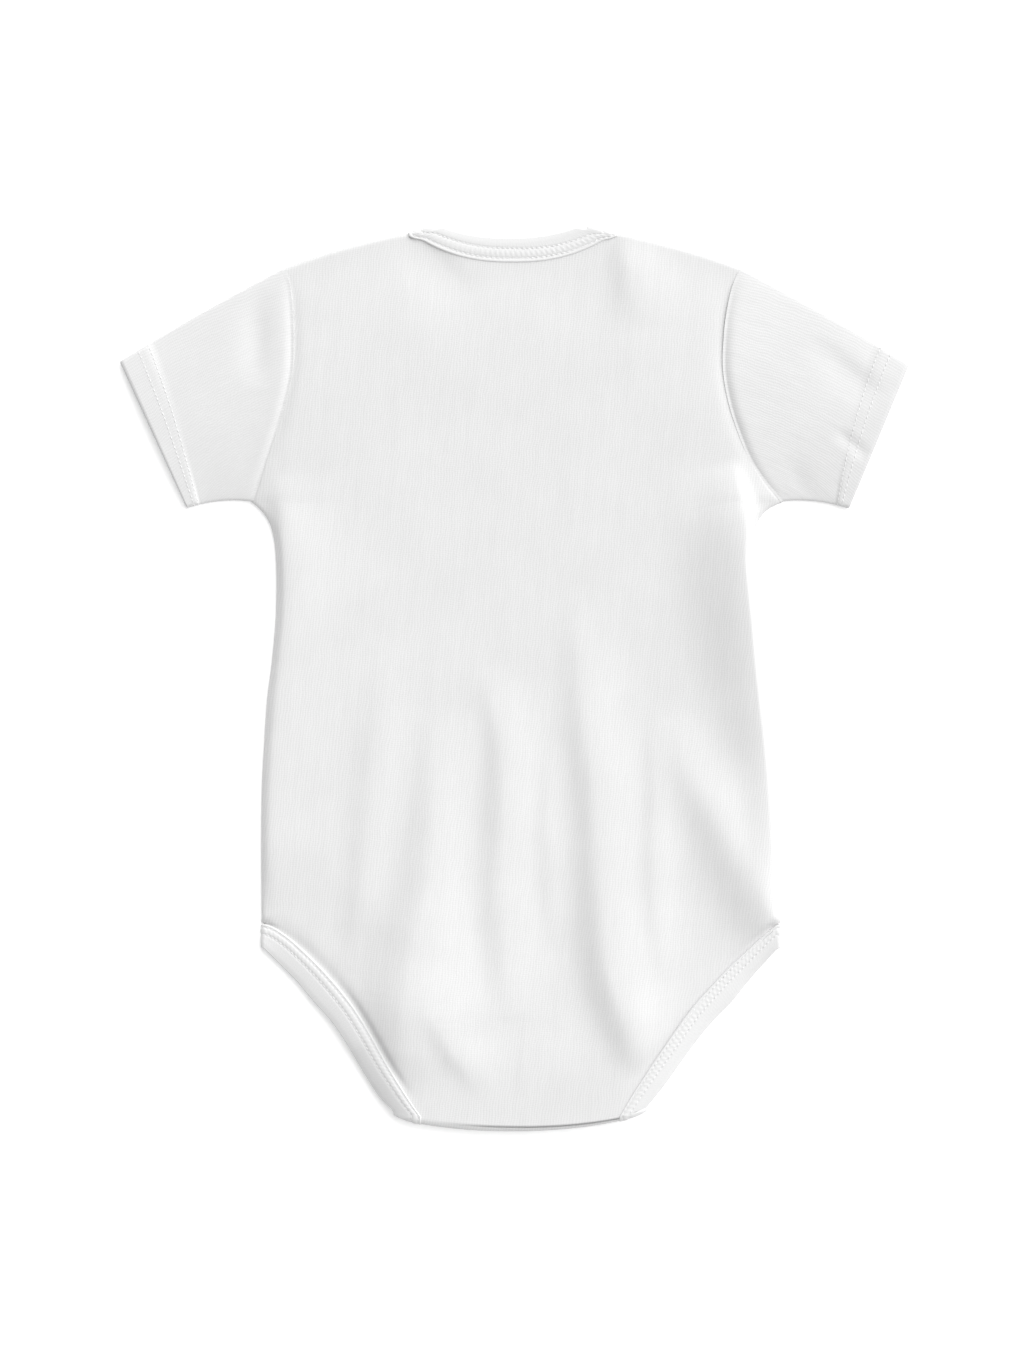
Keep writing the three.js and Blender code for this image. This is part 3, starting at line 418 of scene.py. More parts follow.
def shoulderZ(x):
    out = (shoulder["tipHalf"] - np.abs(x - neck["middle"])) / (shoulder["tipHalf"] - neck["half"])
    return mix(1.95, 2.9, ease(out, 0, 1))


def tongueLift(y):
    return tongue["lift"] * ease(-y, -tongue["liftFrom"], -tongue["liftTo"])


def inNeck(x):
    return 1 - ease(neckOut(x), -2, 0)


def seamHeight(x):  # of a shoulder seam, higher where the neck binding folds over it
    return mix(2.1, cut["seamZ"], ease(neckOut(x), 0, 14))


def columnShares(outer, inner):  # closer columns at the sides and neck corners, and one on each corner
    corner = (shoulder["tipHalf"] - neck["half"]) / (2 * shoulder["tipHalf"])
    t = np.linspace(0, 1, outer + 1)
    left = corner * (t ** 1.6 + (1 - np.cos(np.pi * t)) / 2) / 2
    t = np.linspace(0, 1, inner + 1)
    middle = mix(corner, 1 - corner, mix(t, (1 - np.cos(np.pi * t)) / 2, 0.45))
    return np.concatenate([left, middle[1:-1], 1 - left[::-1]])


def panelGrid(legTable, counts, reach, columns, drop, bottomLine):
    rows = {"part": [], "share": [], "left": [], "right": []}
    for part, (table, count) in enumerate(zip((legTable, "sideSeam", "armhole"), counts)):
        shares = np.linspace(0, 1, count + 1)[1 if part else 0:]
        if part == 2:
            shares = 1 - (1 - shares) ** 1.4  # closer rows at the shoulder
        rows["part"].append(np.full(len(shares), part))
        rows["share"].append(shares)
        for name, side in (("left", -1), ("right", 1)):
            point, outward = seamPoints(table, side, shares)
            rows[name].append(point + outward * reach(part, shares)[:, None])
    rows = {key: np.concatenate(value) for key, value in rows.items()}
    top = np.where(rows["part"] == 2, rows["share"], 0)
    bottom = np.where(rows["part"] == 0, (1 - rows["share"]) ** 2, 0)
    u = columns[None, :]
    xy = rows["left"][:, None, :] * (1 - u[..., None]) + rows["right"][:, None, :] * u[..., None]
    topEdge = lambda x: topY(drop, x)
    ends = rows["left"][-1], rows["right"][-1]
    topLine = insetY(topEdge, mix(ends[0][0], ends[1][0], columns),
                     mix(0.15, -1.5, inNeck(mix(ends[0][0], ends[1][0], columns))))
    starts = rows["left"][0], rows["right"][0]
    lowLine = bottomLine(mix(starts[0][0], starts[1][0], columns))
    for line, share in ((topLine, top), (lowLine, bottom)):
        xy[..., 1] += share[:, None] * (line - mix(line[0], line[-1], columns))[None, :]
    return xy, rows


def legReach(part, share):  # the panel runs on into its leg binding, and stops at its other seams
    if part == 0:
        return mix(1.5, -0.15, ease(share, 0.95, 0.995))
    return np.full(share.shape, -0.15 if part == 1 else 0.0)


# Back panel: upper layer, crotch fold and the flap under it
backPanel = {
    "wall": 0.8, "legRows": 84, "sideRows": 106, "armholeRows": 64, "foldRows": 16, "flapRows": 20,
    "outerColumns": 40, "innerColumns": 60,
    "bodyZ": 4.6, "crotchPuff": 0.9, "blend": 0.4, "edgeShare": 0.5, "sideLift": (1.3, 2.2),
    "ditch": 0.7, "ditchWidth": 3, "touch": 0.35,
    "topRise": 60, "bottomRise": 30, "sideRoll": 1.8, "armholeRoll": 1.0, "armholeDrop": 0.6,
    # Columns: y, left, right. How far in from its sides the panel goes on rising
    "sideRise": [(-150, 16, 13), (-111, 8, 8), (-56, 6, 5), (-25, 6, 4), (8, 7, 4), (53, 9, 5),
                 (90, 10, 9), (186, 22, 24)],
    # Main folds, on those of the solid: ridges, and troughs where lift < 0.
    # Columns: x, y, lift, left and right width
    "folds": [
        [(-35.5, -14, 0, 7, 14), (-36.2, -60, 2.2, 10, 19), (-39, -94, 4.2, 14, 24),
         (-45, -124, 6.2, 17, 29), (-49.5, -148, 6.4, 17, 30), (-50.5, -168, 3.6, 12, 20),
         (-50, -190, 0, 8, 10)],
        [(-14, 4, 0, 5, 11), (-6, -30, 1.7, 6.5, 14), (-5.2, -60, 2.7, 8, 17), (-5.8, -100, 2.6, 9, 17),
         (-3, -135, 1.4, 8, 15), (-2, -156, 0, 6, 11)],
        [(28, 40, 0, 7, 13), (31.6, -14, 1.8, 8, 17), (36.2, -50, 3.1, 9, 20), (39, -96, 3.7, 10, 22),
         (43, -132, 4.9, 11, 24), (50, -155, 3.9, 10, 16), (57, -180, 0, 7, 9)],
        [(17, -30, 0, 4, 8), (15.5, -60, 0.7, 4, 9), (16.5, -100, 0.7, 4, 9), (19, -125, 0, 4, 8)],
        [(63.5, -12, 0, 4, 9), (64.4, -54, 1, 4.5, 9), (64, -94, 1.1, 5, 10), (68, -138, 0, 4, 8)],
        [(72, -18, 0, 7, 12), (80.5, -44, 2, 10, 15), (93, -66, 3.2, 12, 15), (103, -85, 4.2, 13, 13),
         (113, -104, 3.8, 13, 9), (119, -116, 2.2, 11, 7)],
        [(-60.5, 20, 0, 6, 11), (-61.5, -20, 0.9, 7, 13), (-66, -64, 1.4, 7.5, 13),
         (-69.5, -106, 1.1, 7, 11), (-75, -134, 0, 6, 9)],
        [(-38, -150, 0, 5, 10), (-30, -166, 1.3, 6, 13), (-20, -180, 1, 6, 11), (-10, -194, 0, 5, 8)],
        [(-106, 92, 0, 5, 18), (-104.5, 66, 2.3, 5, 19), (-103.5, 34, 2.3, 5, 20),
         (-106.5, 2, 1.7, 5, 18), (-110, -40, 1.3, 4, 18), (-112, -84, 1.1, 4, 16),
         (-114, -104, 0, 4, 12)],
        [(98, 98, 0, 14, 4), (104, 76, 5.4, 19, 4), (106.5, 52, 6.8, 21, 4), (108, 34, 7, 21, 4),
         (109, 14, 6, 19, 4), (111, -10, 4.2, 17, 4), (114, -40, 2.4, 12, 4), (115.5, -70, 2.2, 9, 4),
         (116.5, -94, 1.4, 8, 4), (117, -108, 0, 8, 4)],
        [(-43, 199, -0.4, 14, 6), (-34, 188, -1, 14, 6), (-18, 170, 0, 13, 7)],
        [(50, 200, 0.6, 6, 13), (52, 186, 1.7, 7, 14), (56, 158, 0, 9, 14)]],
}


# What the upper layer lies on: heights, and how gently it slopes from one to the next
support = {"panelZ": 1.8, "flapZ": 6.3, "snapZ": 7.0, "flapHalves": (48, 57), "flapRamp": 34,
           "flapSide": (1, 17), "snapFrom": 4, "snapRamp": 13, "snapSide": (31, 48)}


def backFloor(x, y):  # the lowest that the upper layer can lie: on the front panel, flap or snaps
    p = support
    fromMiddle = np.abs(x - flap["lean"])
    toEdge = fromMiddle - mix(*p["flapHalves"], ease(-y, -flap["endY"], -cut["legSeam"][0][0]))
    overFlap = ease(flap["endY"] + p["flapRamp"] - y, 0, p["flapRamp"]) * (1 - ease(toEdge, *p["flapSide"]))
    onSnaps = ease(flap["endY"] + p["snapFrom"] - y, 0, p["snapRamp"]) * (1 - ease(fromMiddle, *p["snapSide"]))
    return mix(mix(p["panelZ"], p["flapZ"], overFlap), p["snapZ"], onSnaps)


def makeBackPanel():
    p = backPanel
    columns = columnShares(p["outerColumns"], p["innerColumns"])
    counts = p["legRows"], p["sideRows"], p["armholeRows"]
    xy, rows = panelGrid("legSeam", counts, legReach, columns, neck["backDrop"], crotchAxisY)
    x, y = xy[..., 0], xy[..., 1]
    part, share = rows["part"][:, None], rows["share"][:, None]
    onLeft = columns[None, :] < 0.5
    seams = [np.vstack([seamLine(table, side) for table in ("legSeam", "sideSeam", "armhole")])[::3]
             for side in (-1, 1)]
    toSeam = np.where(onLeft, besideLine(xy, seams[0])[0], besideLine(xy, seams[1])[0])
    fromSide = np.maximum(toSeam - cut["seamInset"], 0)
    rise = np.array(p["sideRise"], float)
    riseAt = [np.interp(y, rise[:, 0], rise[:, k]) for k in (1, 2)]
    riseWidth = np.where(onLeft, riseAt[0], riseAt[1])
    topEdge = topY(neck["backDrop"], x)
    slope = np.abs(np.gradient(topEdge, axis=1) / np.maximum(np.gradient(x, axis=1), 1e-6))
    fromTop = topEdge - y
    settle = ease(y - crotchAxisY(x), 0, p["bottomRise"])
    seamZ = np.where(part == 0, legZ(share), np.where(part == 1, sideZ(share), armholeZ(share)))
    top = np.where(part == 2, share, 0)
    atSide = np.where(part == 1, ease(share, 0.03, 0.2) * (1 - ease(share, 0.85, 1)), 0)
    base = mix(seamZ, shoulderZ(x), top ** 3) + atSide * np.where(onLeft, *p["sideLift"])
    edgeUp = 1 - (1 - np.clip(fromSide / riseWidth, 0, 1)) ** 2
    sideUp = mix(ease(fromSide, 0, 5 * riseWidth), edgeUp, p["edgeShare"])
    up = sideUp * ease(fromTop, 0, p["topRise"]) * settle
    lowBase = np.where(part == 0, legZ(share), np.where(part == 1, sideZ(share), sideZ(1)))
    over = (lowBase + p["crotchPuff"] - p["bodyZ"]) / p["blend"]
    raised = up * (p["bodyZ"] + p["blend"] * np.log1p(np.exp(over)) - base)
    sewnHere = np.where(part == 0, 1 - ease(share, 0.8, 1), np.where(part == 1, 0, ease(share, 0, 0.4)))
    sewn = sewnHere * p["ditch"] * np.exp(-(fromSide / p["ditchWidth"]) ** 2) * (1 - top ** 8) * settle
    folds = foldLift(p["folds"], x, y) * ease(fromSide, 0, 3) * settle
    z = base + raised - sewn + folds
    floor = backFloor(x, y)
    z = floor + p["touch"] * np.log1p(np.exp((z - floor) / p["touch"])) + cut["cloth"] / 2
    # Rounded edges: deep where the front panel meets it, shallow over a sleeve, none in a binding
    seamDrop = base + 0.5 - cut["seamZ"]
    topDrop = base + 0.5 - seamHeight(x)
    sideDrop = np.where(part == 0, seamDrop * ease(share, 0.94, 1),
                        np.where(part == 1, seamDrop, mix(seamDrop, p["armholeDrop"], ease(share, 0, 0.2))))
    sideWidth = np.where(part == 2, mix(p["sideRoll"], p["armholeRoll"], ease(share, 0, 0.2)), p["sideRoll"])
    edgeGap = np.maximum(toSeam - np.where(part == 2, 0.15 * (1 - ease(share, 0, 0.2)), 0.15), 0)
    sideRoll = roll(edgeGap, sideWidth, sideDrop)
    topGap = np.maximum(fromTop / np.hypot(1, slope) - 0.15, 0)
    topRoll = roll(topGap, p["sideRoll"], topDrop) * (1 - inNeck(x))
    z = z - np.maximum(sideRoll, topRoll)
    upper = np.stack([x, y, z], -1)
    upperUv = np.stack([x, y], -1)
    # The fold and the flap
    startY, startHalf = cut["legSeam"][0][:2]
    outside = crotch["radius"] + cut["cloth"] / 2
    axisZ = crotch["lowerZ"] + crotch["radius"]
    lower, lowerUv = [], []
    flapX = lambda half: flap["lean"] + (half + 1.5) * (2 * columns - 1)
    axis = crotchAxisY(flapX(startHalf))
    for s in np.linspace(0, 1, p["flapRows"] + 1):
        row = flapX(mix(flap["endHalf"], startHalf, s))
        lineY = mix(flap["endY"], crotchAxisY(row), s)
        z = flapZ(mix(flap["endY"], startY, s)) - 0.5
        lower.append(np.stack([row, lineY, np.full(row.shape, z)], -1))
        lowerUv.append(np.stack([row, 2 * axis - np.pi * outside - lineY], -1))
    for turn in np.pi * np.arange(1, p["foldRows"]) / p["foldRows"]:
        row = flapX(startHalf)
        lineY, z = axis - outside * np.sin(turn), axisZ - outside * np.cos(turn)
        lower.append(np.stack([row, lineY, np.full(row.shape, z)], -1))
        lowerUv.append(np.stack([row, axis - outside * (np.pi - turn)], -1))
    grid = np.concatenate([np.array(lower), upper])
    uv = np.concatenate([np.array(lowerUv), upperUv])
    bm = gridMesh(grid, uv)
    return addPiece("backPanelJersey", bm, jerseyKnit, ["back_panel"], p["wall"])


backPanelPiece = makeBackPanel()
print("back panel made")

# Front panel: flat under the back panel, its outer face down, with a crotch tongue
frontPanel = {"wall": 0.8, "legRows": 60, "sideRows": 90, "armholeRows": 50, "outerColumns": 26,
              "innerColumns": 44, "restZ": 0.05, "armholeRise": 0.5}


def makeFrontPanel():
    p = frontPanel
    columns = columnShares(p["outerColumns"], p["innerColumns"])
    counts = p["legRows"], p["sideRows"], p["armholeRows"]
    lowLine = lambda x: np.full(x.shape, float(tongue["endY"]))
    xy, rows = panelGrid("frontLegSeam", counts, legReach, columns, neck["frontDrop"], lowLine)
    x, y = xy[..., 0], xy[..., 1]
    part, share = rows["part"][:, None], rows["share"][:, None]
    seams = [np.vstack([seamLine(table, side) for table in ("frontLegSeam", "sideSeam", "armhole")])[::3]
             for side in (-1, 1)]
    onLeft = columns[None, :] < 0.5
    toSeam = np.where(onLeft, besideLine(xy, seams[0])[0], besideLine(xy, seams[1])[0])
    topEdge = topY(neck["frontDrop"], x)
    slope = np.abs(np.gradient(topEdge, axis=1) / np.maximum(np.gradient(x, axis=1), 1e-6))
    topGap = np.maximum((topEdge - y) / np.hypot(1, slope) - 0.15, 0)
    rise = cut["seamZ"] - p["restZ"]
    topRise = seamHeight(x) - p["restZ"]
    sideRise = np.where(part == 0, rise * ease(share, 0.94, 1),
                        np.where(part == 1, rise, mix(rise, p["armholeRise"], ease(share, 0, 0.06))))
    up = np.maximum(roll(np.maximum(toSeam - 0.15, 0), 1.8, sideRise),
                    roll(topGap, 1.8, topRise) * (1 - inNeck(x)))
    grid = np.stack([x, y, p["restZ"] + tongueLift(y) + up], -1)
    bm = gridMesh(grid, np.stack([x, y], -1))
    bmesh.ops.reverse_faces(bm, faces=bm.faces)
    return addPiece("frontPanelJersey", bm, jerseyKnit, ["front_panel"], p["wall"])


frontPanelPiece = makeFrontPanel()
print("front panel made")

# Sleeves: flattened tubes with a turned hem, set in under the body's armhole edges
sleeve = {
    "wall": 0.8, "edgeRadius": 0.8, "puff": 2.5, "topBulge": 0.9, "underBulge": 1.6, "underEdge": 0.9,
    "seamPuff": {-1: (0.6, 7), 1: (0.9, 16)},  # beside the armhole: height and reach
    "hemWidth": 15, "hemRadius": 1.05, "hemPuff": 1.45, "hemStep": 0.8,
    "rings": 60, "upper": 64, "turn": 8, "under": 40,
    "cuffs": {-1: (-179.6, 144.0, -148.8, 76.9), 1: (179.6, 143.0, 152.0, 76.7)},
    # Columns: x, y, lift, left and right width
    "folds": {
        -1: [[(-116.5, 186, -0.4, 7, 6), (-117, 168, -1.6, 7, 6), (-117, 152, -1.5, 7, 6),
              (-117.5, 132, 0, 7, 6)]],
        1: [[(132, 153, 0, 7, 5), (143, 147, -1, 8, 5), (158, 134, -1.1, 8, 5), (168, 125, 0, 6, 5)],
            [(146, 113, 0, 3, 3), (150, 109, -0.6, 3, 3), (158, 102, -0.6, 3, 3), (161, 99, 0, 3, 3)],
            [(134, 72, -0.9, 5, 5), (130, 86, -1.1, 5, 5), (124, 101, 0, 5, 5)]],
    },
}


def sleevePlace(side, s, w):  # s runs from armhole to cuff, w from the shoulder to the underarm
    topX, topCuffY, underX, underY = sleeve["cuffs"][side]
    corner = np.array([neck["middle"] + shoulder["tipHalf"] * side, shoulder["tipY"]])
    y0, half, lean = cut["armhole"][0]
    underarm = np.array([lean + half * side, y0])
    s, w = s[..., None], w[..., None]
    top = mix(corner, np.array([topX, topCuffY]), s)
    top[..., 1:] += 4 * sleeve["topBulge"] * s * (1 - s)
    under = mix(underarm, np.array([underX, underY]), s)
    under[..., 1:] += 4 * sleeve["underBulge"] * s * (1 - s)
    point, outward = seamPoints("armhole", side, 1 - w.ravel())
    seam = (point + outward * cut["seamInset"]).reshape(w.shape[:-1] + (2,))
    place = mix(top, under, w) + (seam - mix(corner, underarm, w)) * (1 - s)
    place[..., :1] -= side * 0.3 * s
    return place, seam, outward.reshape(seam.shape)


def makeSleeve(side, name):
    p = sleeve
    topX, topCuffY, underX, underY = p["cuffs"][side]
    length = math.hypot(topX - neck["middle"] - shoulder["tipHalf"] * side, topCuffY - shoulder["tipY"])
    hemStart = 1 - p["hemWidth"] / length
    inside = np.array([-1.4, -0.9, -0.4])  # rings under the body's edge, mm from the first one
    s = np.concatenate([np.zeros(len(inside)), np.linspace(0, 1, p["rings"]) ** 1.15, [1.0, 1.0]])
    under = np.concatenate([inside, np.zeros(p["rings"] + 2)])
    hemmed = ease(s, hemStart - 0.02, hemStart + 0.02)
    radius, wall = mix(p["edgeRadius"], p["hemRadius"], hemmed), mix(cut["cloth"], cut["hem"], hemmed)
    rows = s[:, None]
    high = np.linalg.norm(sleevePlace(side, s, np.zeros(s.shape))[0]
                          - sleevePlace(side, s, np.ones(s.shape))[0], axis=1)
    edge = ((radius + wall / 2 + cut["seamInset"] / 3) / high)[:, None]
    radius, wall, high = radius[:, None], wall[:, None], high[:, None]
    spread = lambda count: np.linspace(0, 1, count + 1)[None, :]
    turn = np.pi * np.arange(1, p["turn"])[None, :] / p["turn"]

    def upperRows(w):
        at = mix(edge, 1 - edge, w)
        place, seam, outward = sleevePlace(side, rows + 0 * at, at)
        place = place + outward * under[:, None, None]
        gap = np.linalg.norm(place - seam, axis=-1)
        seamPuff, reach = p["seamPuff"][side]
        puff = mix(p["puff"], p["hemPuff"] + p["hemStep"], rows / hemStart)
        puff = puff - p["hemStep"] * hemmed[:, None] + seamPuff * np.exp(-rows * length / reach)
        folds = foldLift(p["folds"][side], place[..., 0], place[..., 1])
        shape = puff - 0.5 * np.exp(-(gap / 2) ** 2) + folds * ease(rows, 0, 0.03)
        ends = np.sin(np.pi * w + 0 * at) ** 0.8
        z = wall / 2 + 2 * radius + shape * ends
        step = p["underEdge"] * ends * np.exp(-rows * length / 2)
        return np.concatenate([place, (z - step)[..., None]], -1)

    def underRows(w):
        at = mix(1 - edge, edge, w)
        place, _, outward = sleevePlace(side, rows + 0 * at, at)
        place = place + outward * under[:, None, None]
        return np.concatenate([place, (wall / 2 + 0 * at)[..., None]], -1)

    def turnRows(w, outward):
        at = w + outward * radius * np.sin(turn) / high
        place, _, away = sleevePlace(side, rows + 0 * at, at)
        place = place + away * under[:, None, None]
        z = wall / 2 + radius * (1 + outward * np.cos(turn))
        return np.concatenate([place, z[..., None]], -1)

    upper = upperRows(spread(p["upper"]))
    lower = underRows(spread(p["under"]))
    bottom = turnRows(1 - edge, 1)
    top = turnRows(edge, -1)
    # The ring starts and ends on the underarm seam
    half = bottom.shape[1] // 2
    ring = np.concatenate([bottom[:, half:], lower, top, upper, bottom[:, :half + 1]], 1)
    normals = gridNormals(ring, closed=True) * side * -1
    if normals[5, ring.shape[1] - p["upper"] // 2][2] < 0:
        normals = -normals
    outer = ring + normals * (wall / 2)[..., None]
    # The cuff's edge turns in
    outer[-2] -= normals[-2] * 0.25
    outer[-1] -= normals[-1] * 0.75
    along = unit(outer[-3] - outer[-6])
    outer[-2] += along * 0.22
    outer[-1] += along * 0.3
    steps = np.linalg.norm(np.diff(ring, axis=1), axis=2)
    girth = np.concatenate([np.zeros((len(s), 1)), np.cumsum(steps, 1)], 1)
    girth = girth - girth[:, -1:] * 0.75
    uv = np.stack([girth, rows * length + 0 * girth], -1)
    bm = gridMesh(outer, uv, weld=True)
    bm.normal_update()
    highest = max(bm.faces, key=lambda face: face.calc_center_median().z)
    if highest.normal.z < 0:
        bmesh.ops.reverse_faces(bm, faces=bm.faces)
    piece = addPiece(f"sleeve{name}Jersey", bm, jerseyKnit, [f"sleeve_{name.lower()}"], p["wall"])
    return piece, (outer, s * length, length)


sleeves = {side: makeSleeve(side, name) for side, name in ((-1, "Left"), (1, "Right"))}
print("sleeves made")

# Bindings: rib strips folded over the raw edges, each one closed section swept along its seam
bindingForm = {
    "thick": 1.8, "edgeThick": 1.5, "freeThick": 1.3, "samples": 22,
    "upperZ": 3.3, "lowerZ": 0.9, "turnOut": 1.2,  # where a binding turns from layer to layer
    "steps": {"turn": 12, "frontLeg": 80, "backLeg": 230, "fold": 14, "flap": 28, "backNeck": 190,
              "frontNeck": 220},
    "crest": 0.15, "groove": 0.22, "grooveHalf": 0.5, "puff": 0.12, "pucker": 0.08, "pitch": 2.3,
    "neckRows": (2.0, 6.5), "legRows": (1.4, 4.7), "widths": {"tongue": 9, "flap": 9, "side": 10.3},
    # How far a leg binding's free edge rolls under. Columns: share of the seam from the crotch, drop
    "droop": {-1: [(0, 3.2), (0.12, 4.6), (0.28, 4.0), (0.42, 2.2), (0.7, 1.4), (0.9, 0.8), (1, 0)],
              1: [(0, 3.2), (0.2, 3.6), (0.5, 3.2), (0.8, 2.2), (1, 0)]},
}


def bindingTurn():  # steps of the turn from the lower to the upper layer
    p = bindingForm
    along = np.linspace(0, 1, p["steps"]["turn"])[1:-1]
    heights = [mix(p["upperZ"], p["lowerZ"], (1 + math.cos(math.pi * t)) / 2) for t in along]
    return [(t, p["turnOut"] * math.sin(math.pi * t), z) for t, z in zip(along, heights)]


def trimmed(table):
    line = smoothLine([(half, y) for y, half, lean in cut[table]])
    return 1 - cut["foldInset"] / lengths(line)[-1]


def legBindingRows(side):  # rows of a seam end, a free end and how the free end bends
    rows = []
    down, sideways = np.array([0.0, -1.0]), np.array([float(side), 0.0])
    widths, inset = bindingForm["widths"], cut["seamInset"]
    droops = smoothLine(bindingForm["droop"][side], 8)

    def put(a, b, z, bend=(0, 0)):  # seam end, free end, and how far the free end bends in y and z
        rows.append((*a, z, *b, z, 0, *bend))

    counts = bindingForm["steps"]
    count = counts["frontLeg"]
    shares = np.linspace(0, trimmed("frontLegSeam"), count + 1)
    seams, outwards = seamPoints("frontLegSeam", side, shares)
    for i, (seam, outward) in enumerate(zip(seams, outwards)):
        share = i / count
        nearEnd = 1 - ease(min(share, 1 - share), 0, 0.3)
        away = unit(mix(outward, sideways if share < 0.5 else down, nearEnd))
        width = mix(widths["tongue"], widths["side"], share ** 4)
        put(seam + outward * 0.15, seam + away * width, bindingForm["lowerZ"] + tongueLift(seam[1]))
    count = counts["backLeg"]
    steps = np.linspace(1, 0, count + 1)
    seams, outwards = seamPoints("legSeam", side, steps * trimmed("legSeam"))
    edges, _ = seamPoints("legEdge", side, steps * trimmed("legEdge"))
    firstSeam, firstEdge = seams[0] + outwards[0] * 0.15, edges[0]
    fromRow = np.array(rows[-1])
    for t, out, z in bindingTurn():
        bulge = sideways * out
        put(mix(fromRow[:2], firstSeam, t) + bulge, mix(fromRow[3:5], firstEdge, t) + bulge, z)
    for seam, outward, edge, step in zip(seams, outwards, edges, steps):
        droop = np.interp(step, droops[:, 0], droops[:, 1])
        put(seam + outward * 0.15, edge, float(legZ(step)), (0, -droop))
    seamHalf, edgeHalf = cut["legSeam"][0][1], cut["legEdge"][0][1]

    def crotchRow(a, b, lineY, z, bend=(0, 0)):
        ends = [flap["lean"] + side * half for half in (a + 0.15, b)]
        put(*[np.array([end, lineY(end)]) for end in ends], z, bend)

    for turn in np.pi * np.arange(1, counts["fold"]) / counts["fold"]:
        z = crotch["upperZ"] - crotch["radius"] * (1 - math.cos(turn))
        drop = droops[0, 1] / 2
        bend = (drop * math.sin(turn), -drop * (1 + math.cos(turn)))
        crotchRow(seamHalf, edgeHalf, lambda x: crotchAxisY(x) - crotch["radius"] * math.sin(turn), z, bend)
    for s in np.linspace(0, 1, counts["flap"]):
        z = float(flapZ(mix(cut["legSeam"][0][0], flap["endY"], s)))
        crotchRow(mix(seamHalf, flap["endHalf"], s), mix(edgeHalf, flap["endHalf"] + widths["flap"], s),
                  lambda x: mix(crotchAxisY(x), flap["endY"], s), z)
    return np.array(rows).reshape(-1, 3, 3)


def neckBindingRows():
    rows = []
    tip = unit(np.array([neck["half"] - neckEdge["half"], neck["cornerY"] - neckEdge["cornerY"]]))

    def neckline(share, drops, z):
        ends = []
        for line, drop, inset in zip((neck, neckEdge), drops, (-0.15, 0)):
            x = line["middle"] + line["half"] * (2 * share - 1)
            ends.append((x, float(insetY(lambda at: necklineY(line, drop, at), np.float64(x), inset)), z))
        rows.append([*ends, (0, 0, 0)])

    def overShoulder(side, turn):
        for _, out, z in turn:
            bulge = np.array([-side * tip[1], tip[0]]) * out
            corners = [(line["middle"] + side * line["half"], line["cornerY"] - cut["foldInset"])
                       for line in (neck, neckEdge)]
            ends = [np.array(corner) + bulge for corner in corners]
            away = unit(ends[1] - ends[0])
            rows.append([(*(ends[0] + away * 0.15), z), (*ends[1], z), (0, 0, 0)])

    turn = bindingTurn()
    for s in np.linspace(0, 1, bindingForm["steps"]["backNeck"]):
        neckline(s, (neck["backDrop"], neckEdge["backDrop"]), float(mix(2.9, 3.3, abs(2 * s - 1) ** 4)))
    overShoulder(1, turn[::-1])
    for s in np.linspace(1, 0, bindingForm["steps"]["frontNeck"]):
        neckline(s, (neck["frontDrop"], neckEdge["frontDrop"]), bindingForm["lowerZ"])
    overShoulder(-1, turn)
    rows.append(rows[0])
    return np.array(rows)


def bandSection(rows, stitchRows, looped, facing):  # outer and inner surface points of a band
    p = bindingForm
    along = np.roll(rows, -1, 0) - np.roll(rows, 1, 0)
    if looped:
        along[0] = along[-1] = rows[1] - rows[-2]
    else:
        along[0], along[-1] = rows[1] - rows[0], rows[-1] - rows[-2]
    width = np.linalg.norm(rows[:, 1] - rows[:, 0], axis=1)
    t = np.linspace(-1, 1, p["samples"] * 2 + 1)
    share = 0.5 + 0.5 * np.sign(t) * (1 - (1 - np.abs(t)) ** 1.5)  # closer samples at both edges
    across = share[None, :, None]
    mid = mix(rows[:, :1], rows[:, 1:2], across) + rows[:, 2:] * across ** 2
    ways = mix(along[:, :1], along[:, 1:2], across) + along[:, 2:] * across ** 2
    normals = unit(np.cross(np.gradient(mid, axis=1), ways)) * facing
    a = share[None, :] * width[:, None]
    free = width[:, None] - a
    thick = mix(p["edgeThick"], p["thick"], ease(a, 0, 2))
    thick = thick - (p["thick"] - p["freeThick"]) * (1 - ease(free, 0, 3))
    round0 = np.sqrt(np.clip(1 - (1 - np.clip(a / 0.45, 0, 1)) ** 2, 0, 1))
    round1 = np.sqrt(np.clip(1 - (1 - np.clip(free / 0.75, 0, 1)) ** 2, 0, 1))
    half = thick / 2 * np.minimum(round0, round1)
    arc = lengths(mix(rows[:, 0], rows[:, 1], 0.4))
    pucker = p["pucker"] * np.cos(2 * np.pi * arc / p["pitch"])[:, None]
    relief = p["crest"] * np.exp(-((a - 0.7) / 0.5) ** 2)
    for at in stitchRows:
        relief -= (p["groove"] + pucker) * np.exp(-((a - at) / p["grooveHalf"]) ** 2)
    between = np.exp(-((a - sum(stitchRows) / 2) / 1.2) ** 2)
    relief += (p["puff"] + pucker) * between
    relief *= np.minimum(round0, round1)
    upper = mid + normals * (half + relief)[..., None]
    lower = mid - normals * half[..., None]
    return upper, lower, a, arc


def makeBinding(name, rows, stitchRows, node, looped=False, facing=-1):
    upper, lower, a, arc = bandSection(rows, stitchRows, looped, facing)
    ring = np.concatenate([upper, lower[:, -2:0:-1], upper[:, :1]], 1)
    girth = np.concatenate([a, 2 * a[:, -1:] - a[:, -2:0:-1], 2 * a[:, -1:]], 1)
    uv = np.stack([girth, arc[:, None] + 0 * girth], -1)
    bm = gridMesh(ring, uv, weld=True)
    if not looped:
        ends = [edge for edge in bm.edges if edge.is_boundary]
        bmesh.ops.holes_fill(bm, edges=ends, sides=0)
    bmesh.ops.recalc_face_normals(bm, faces=bm.faces)
    piece = addPiece(name, bm, ribKnit, [node])
    return piece, (upper, a, arc)


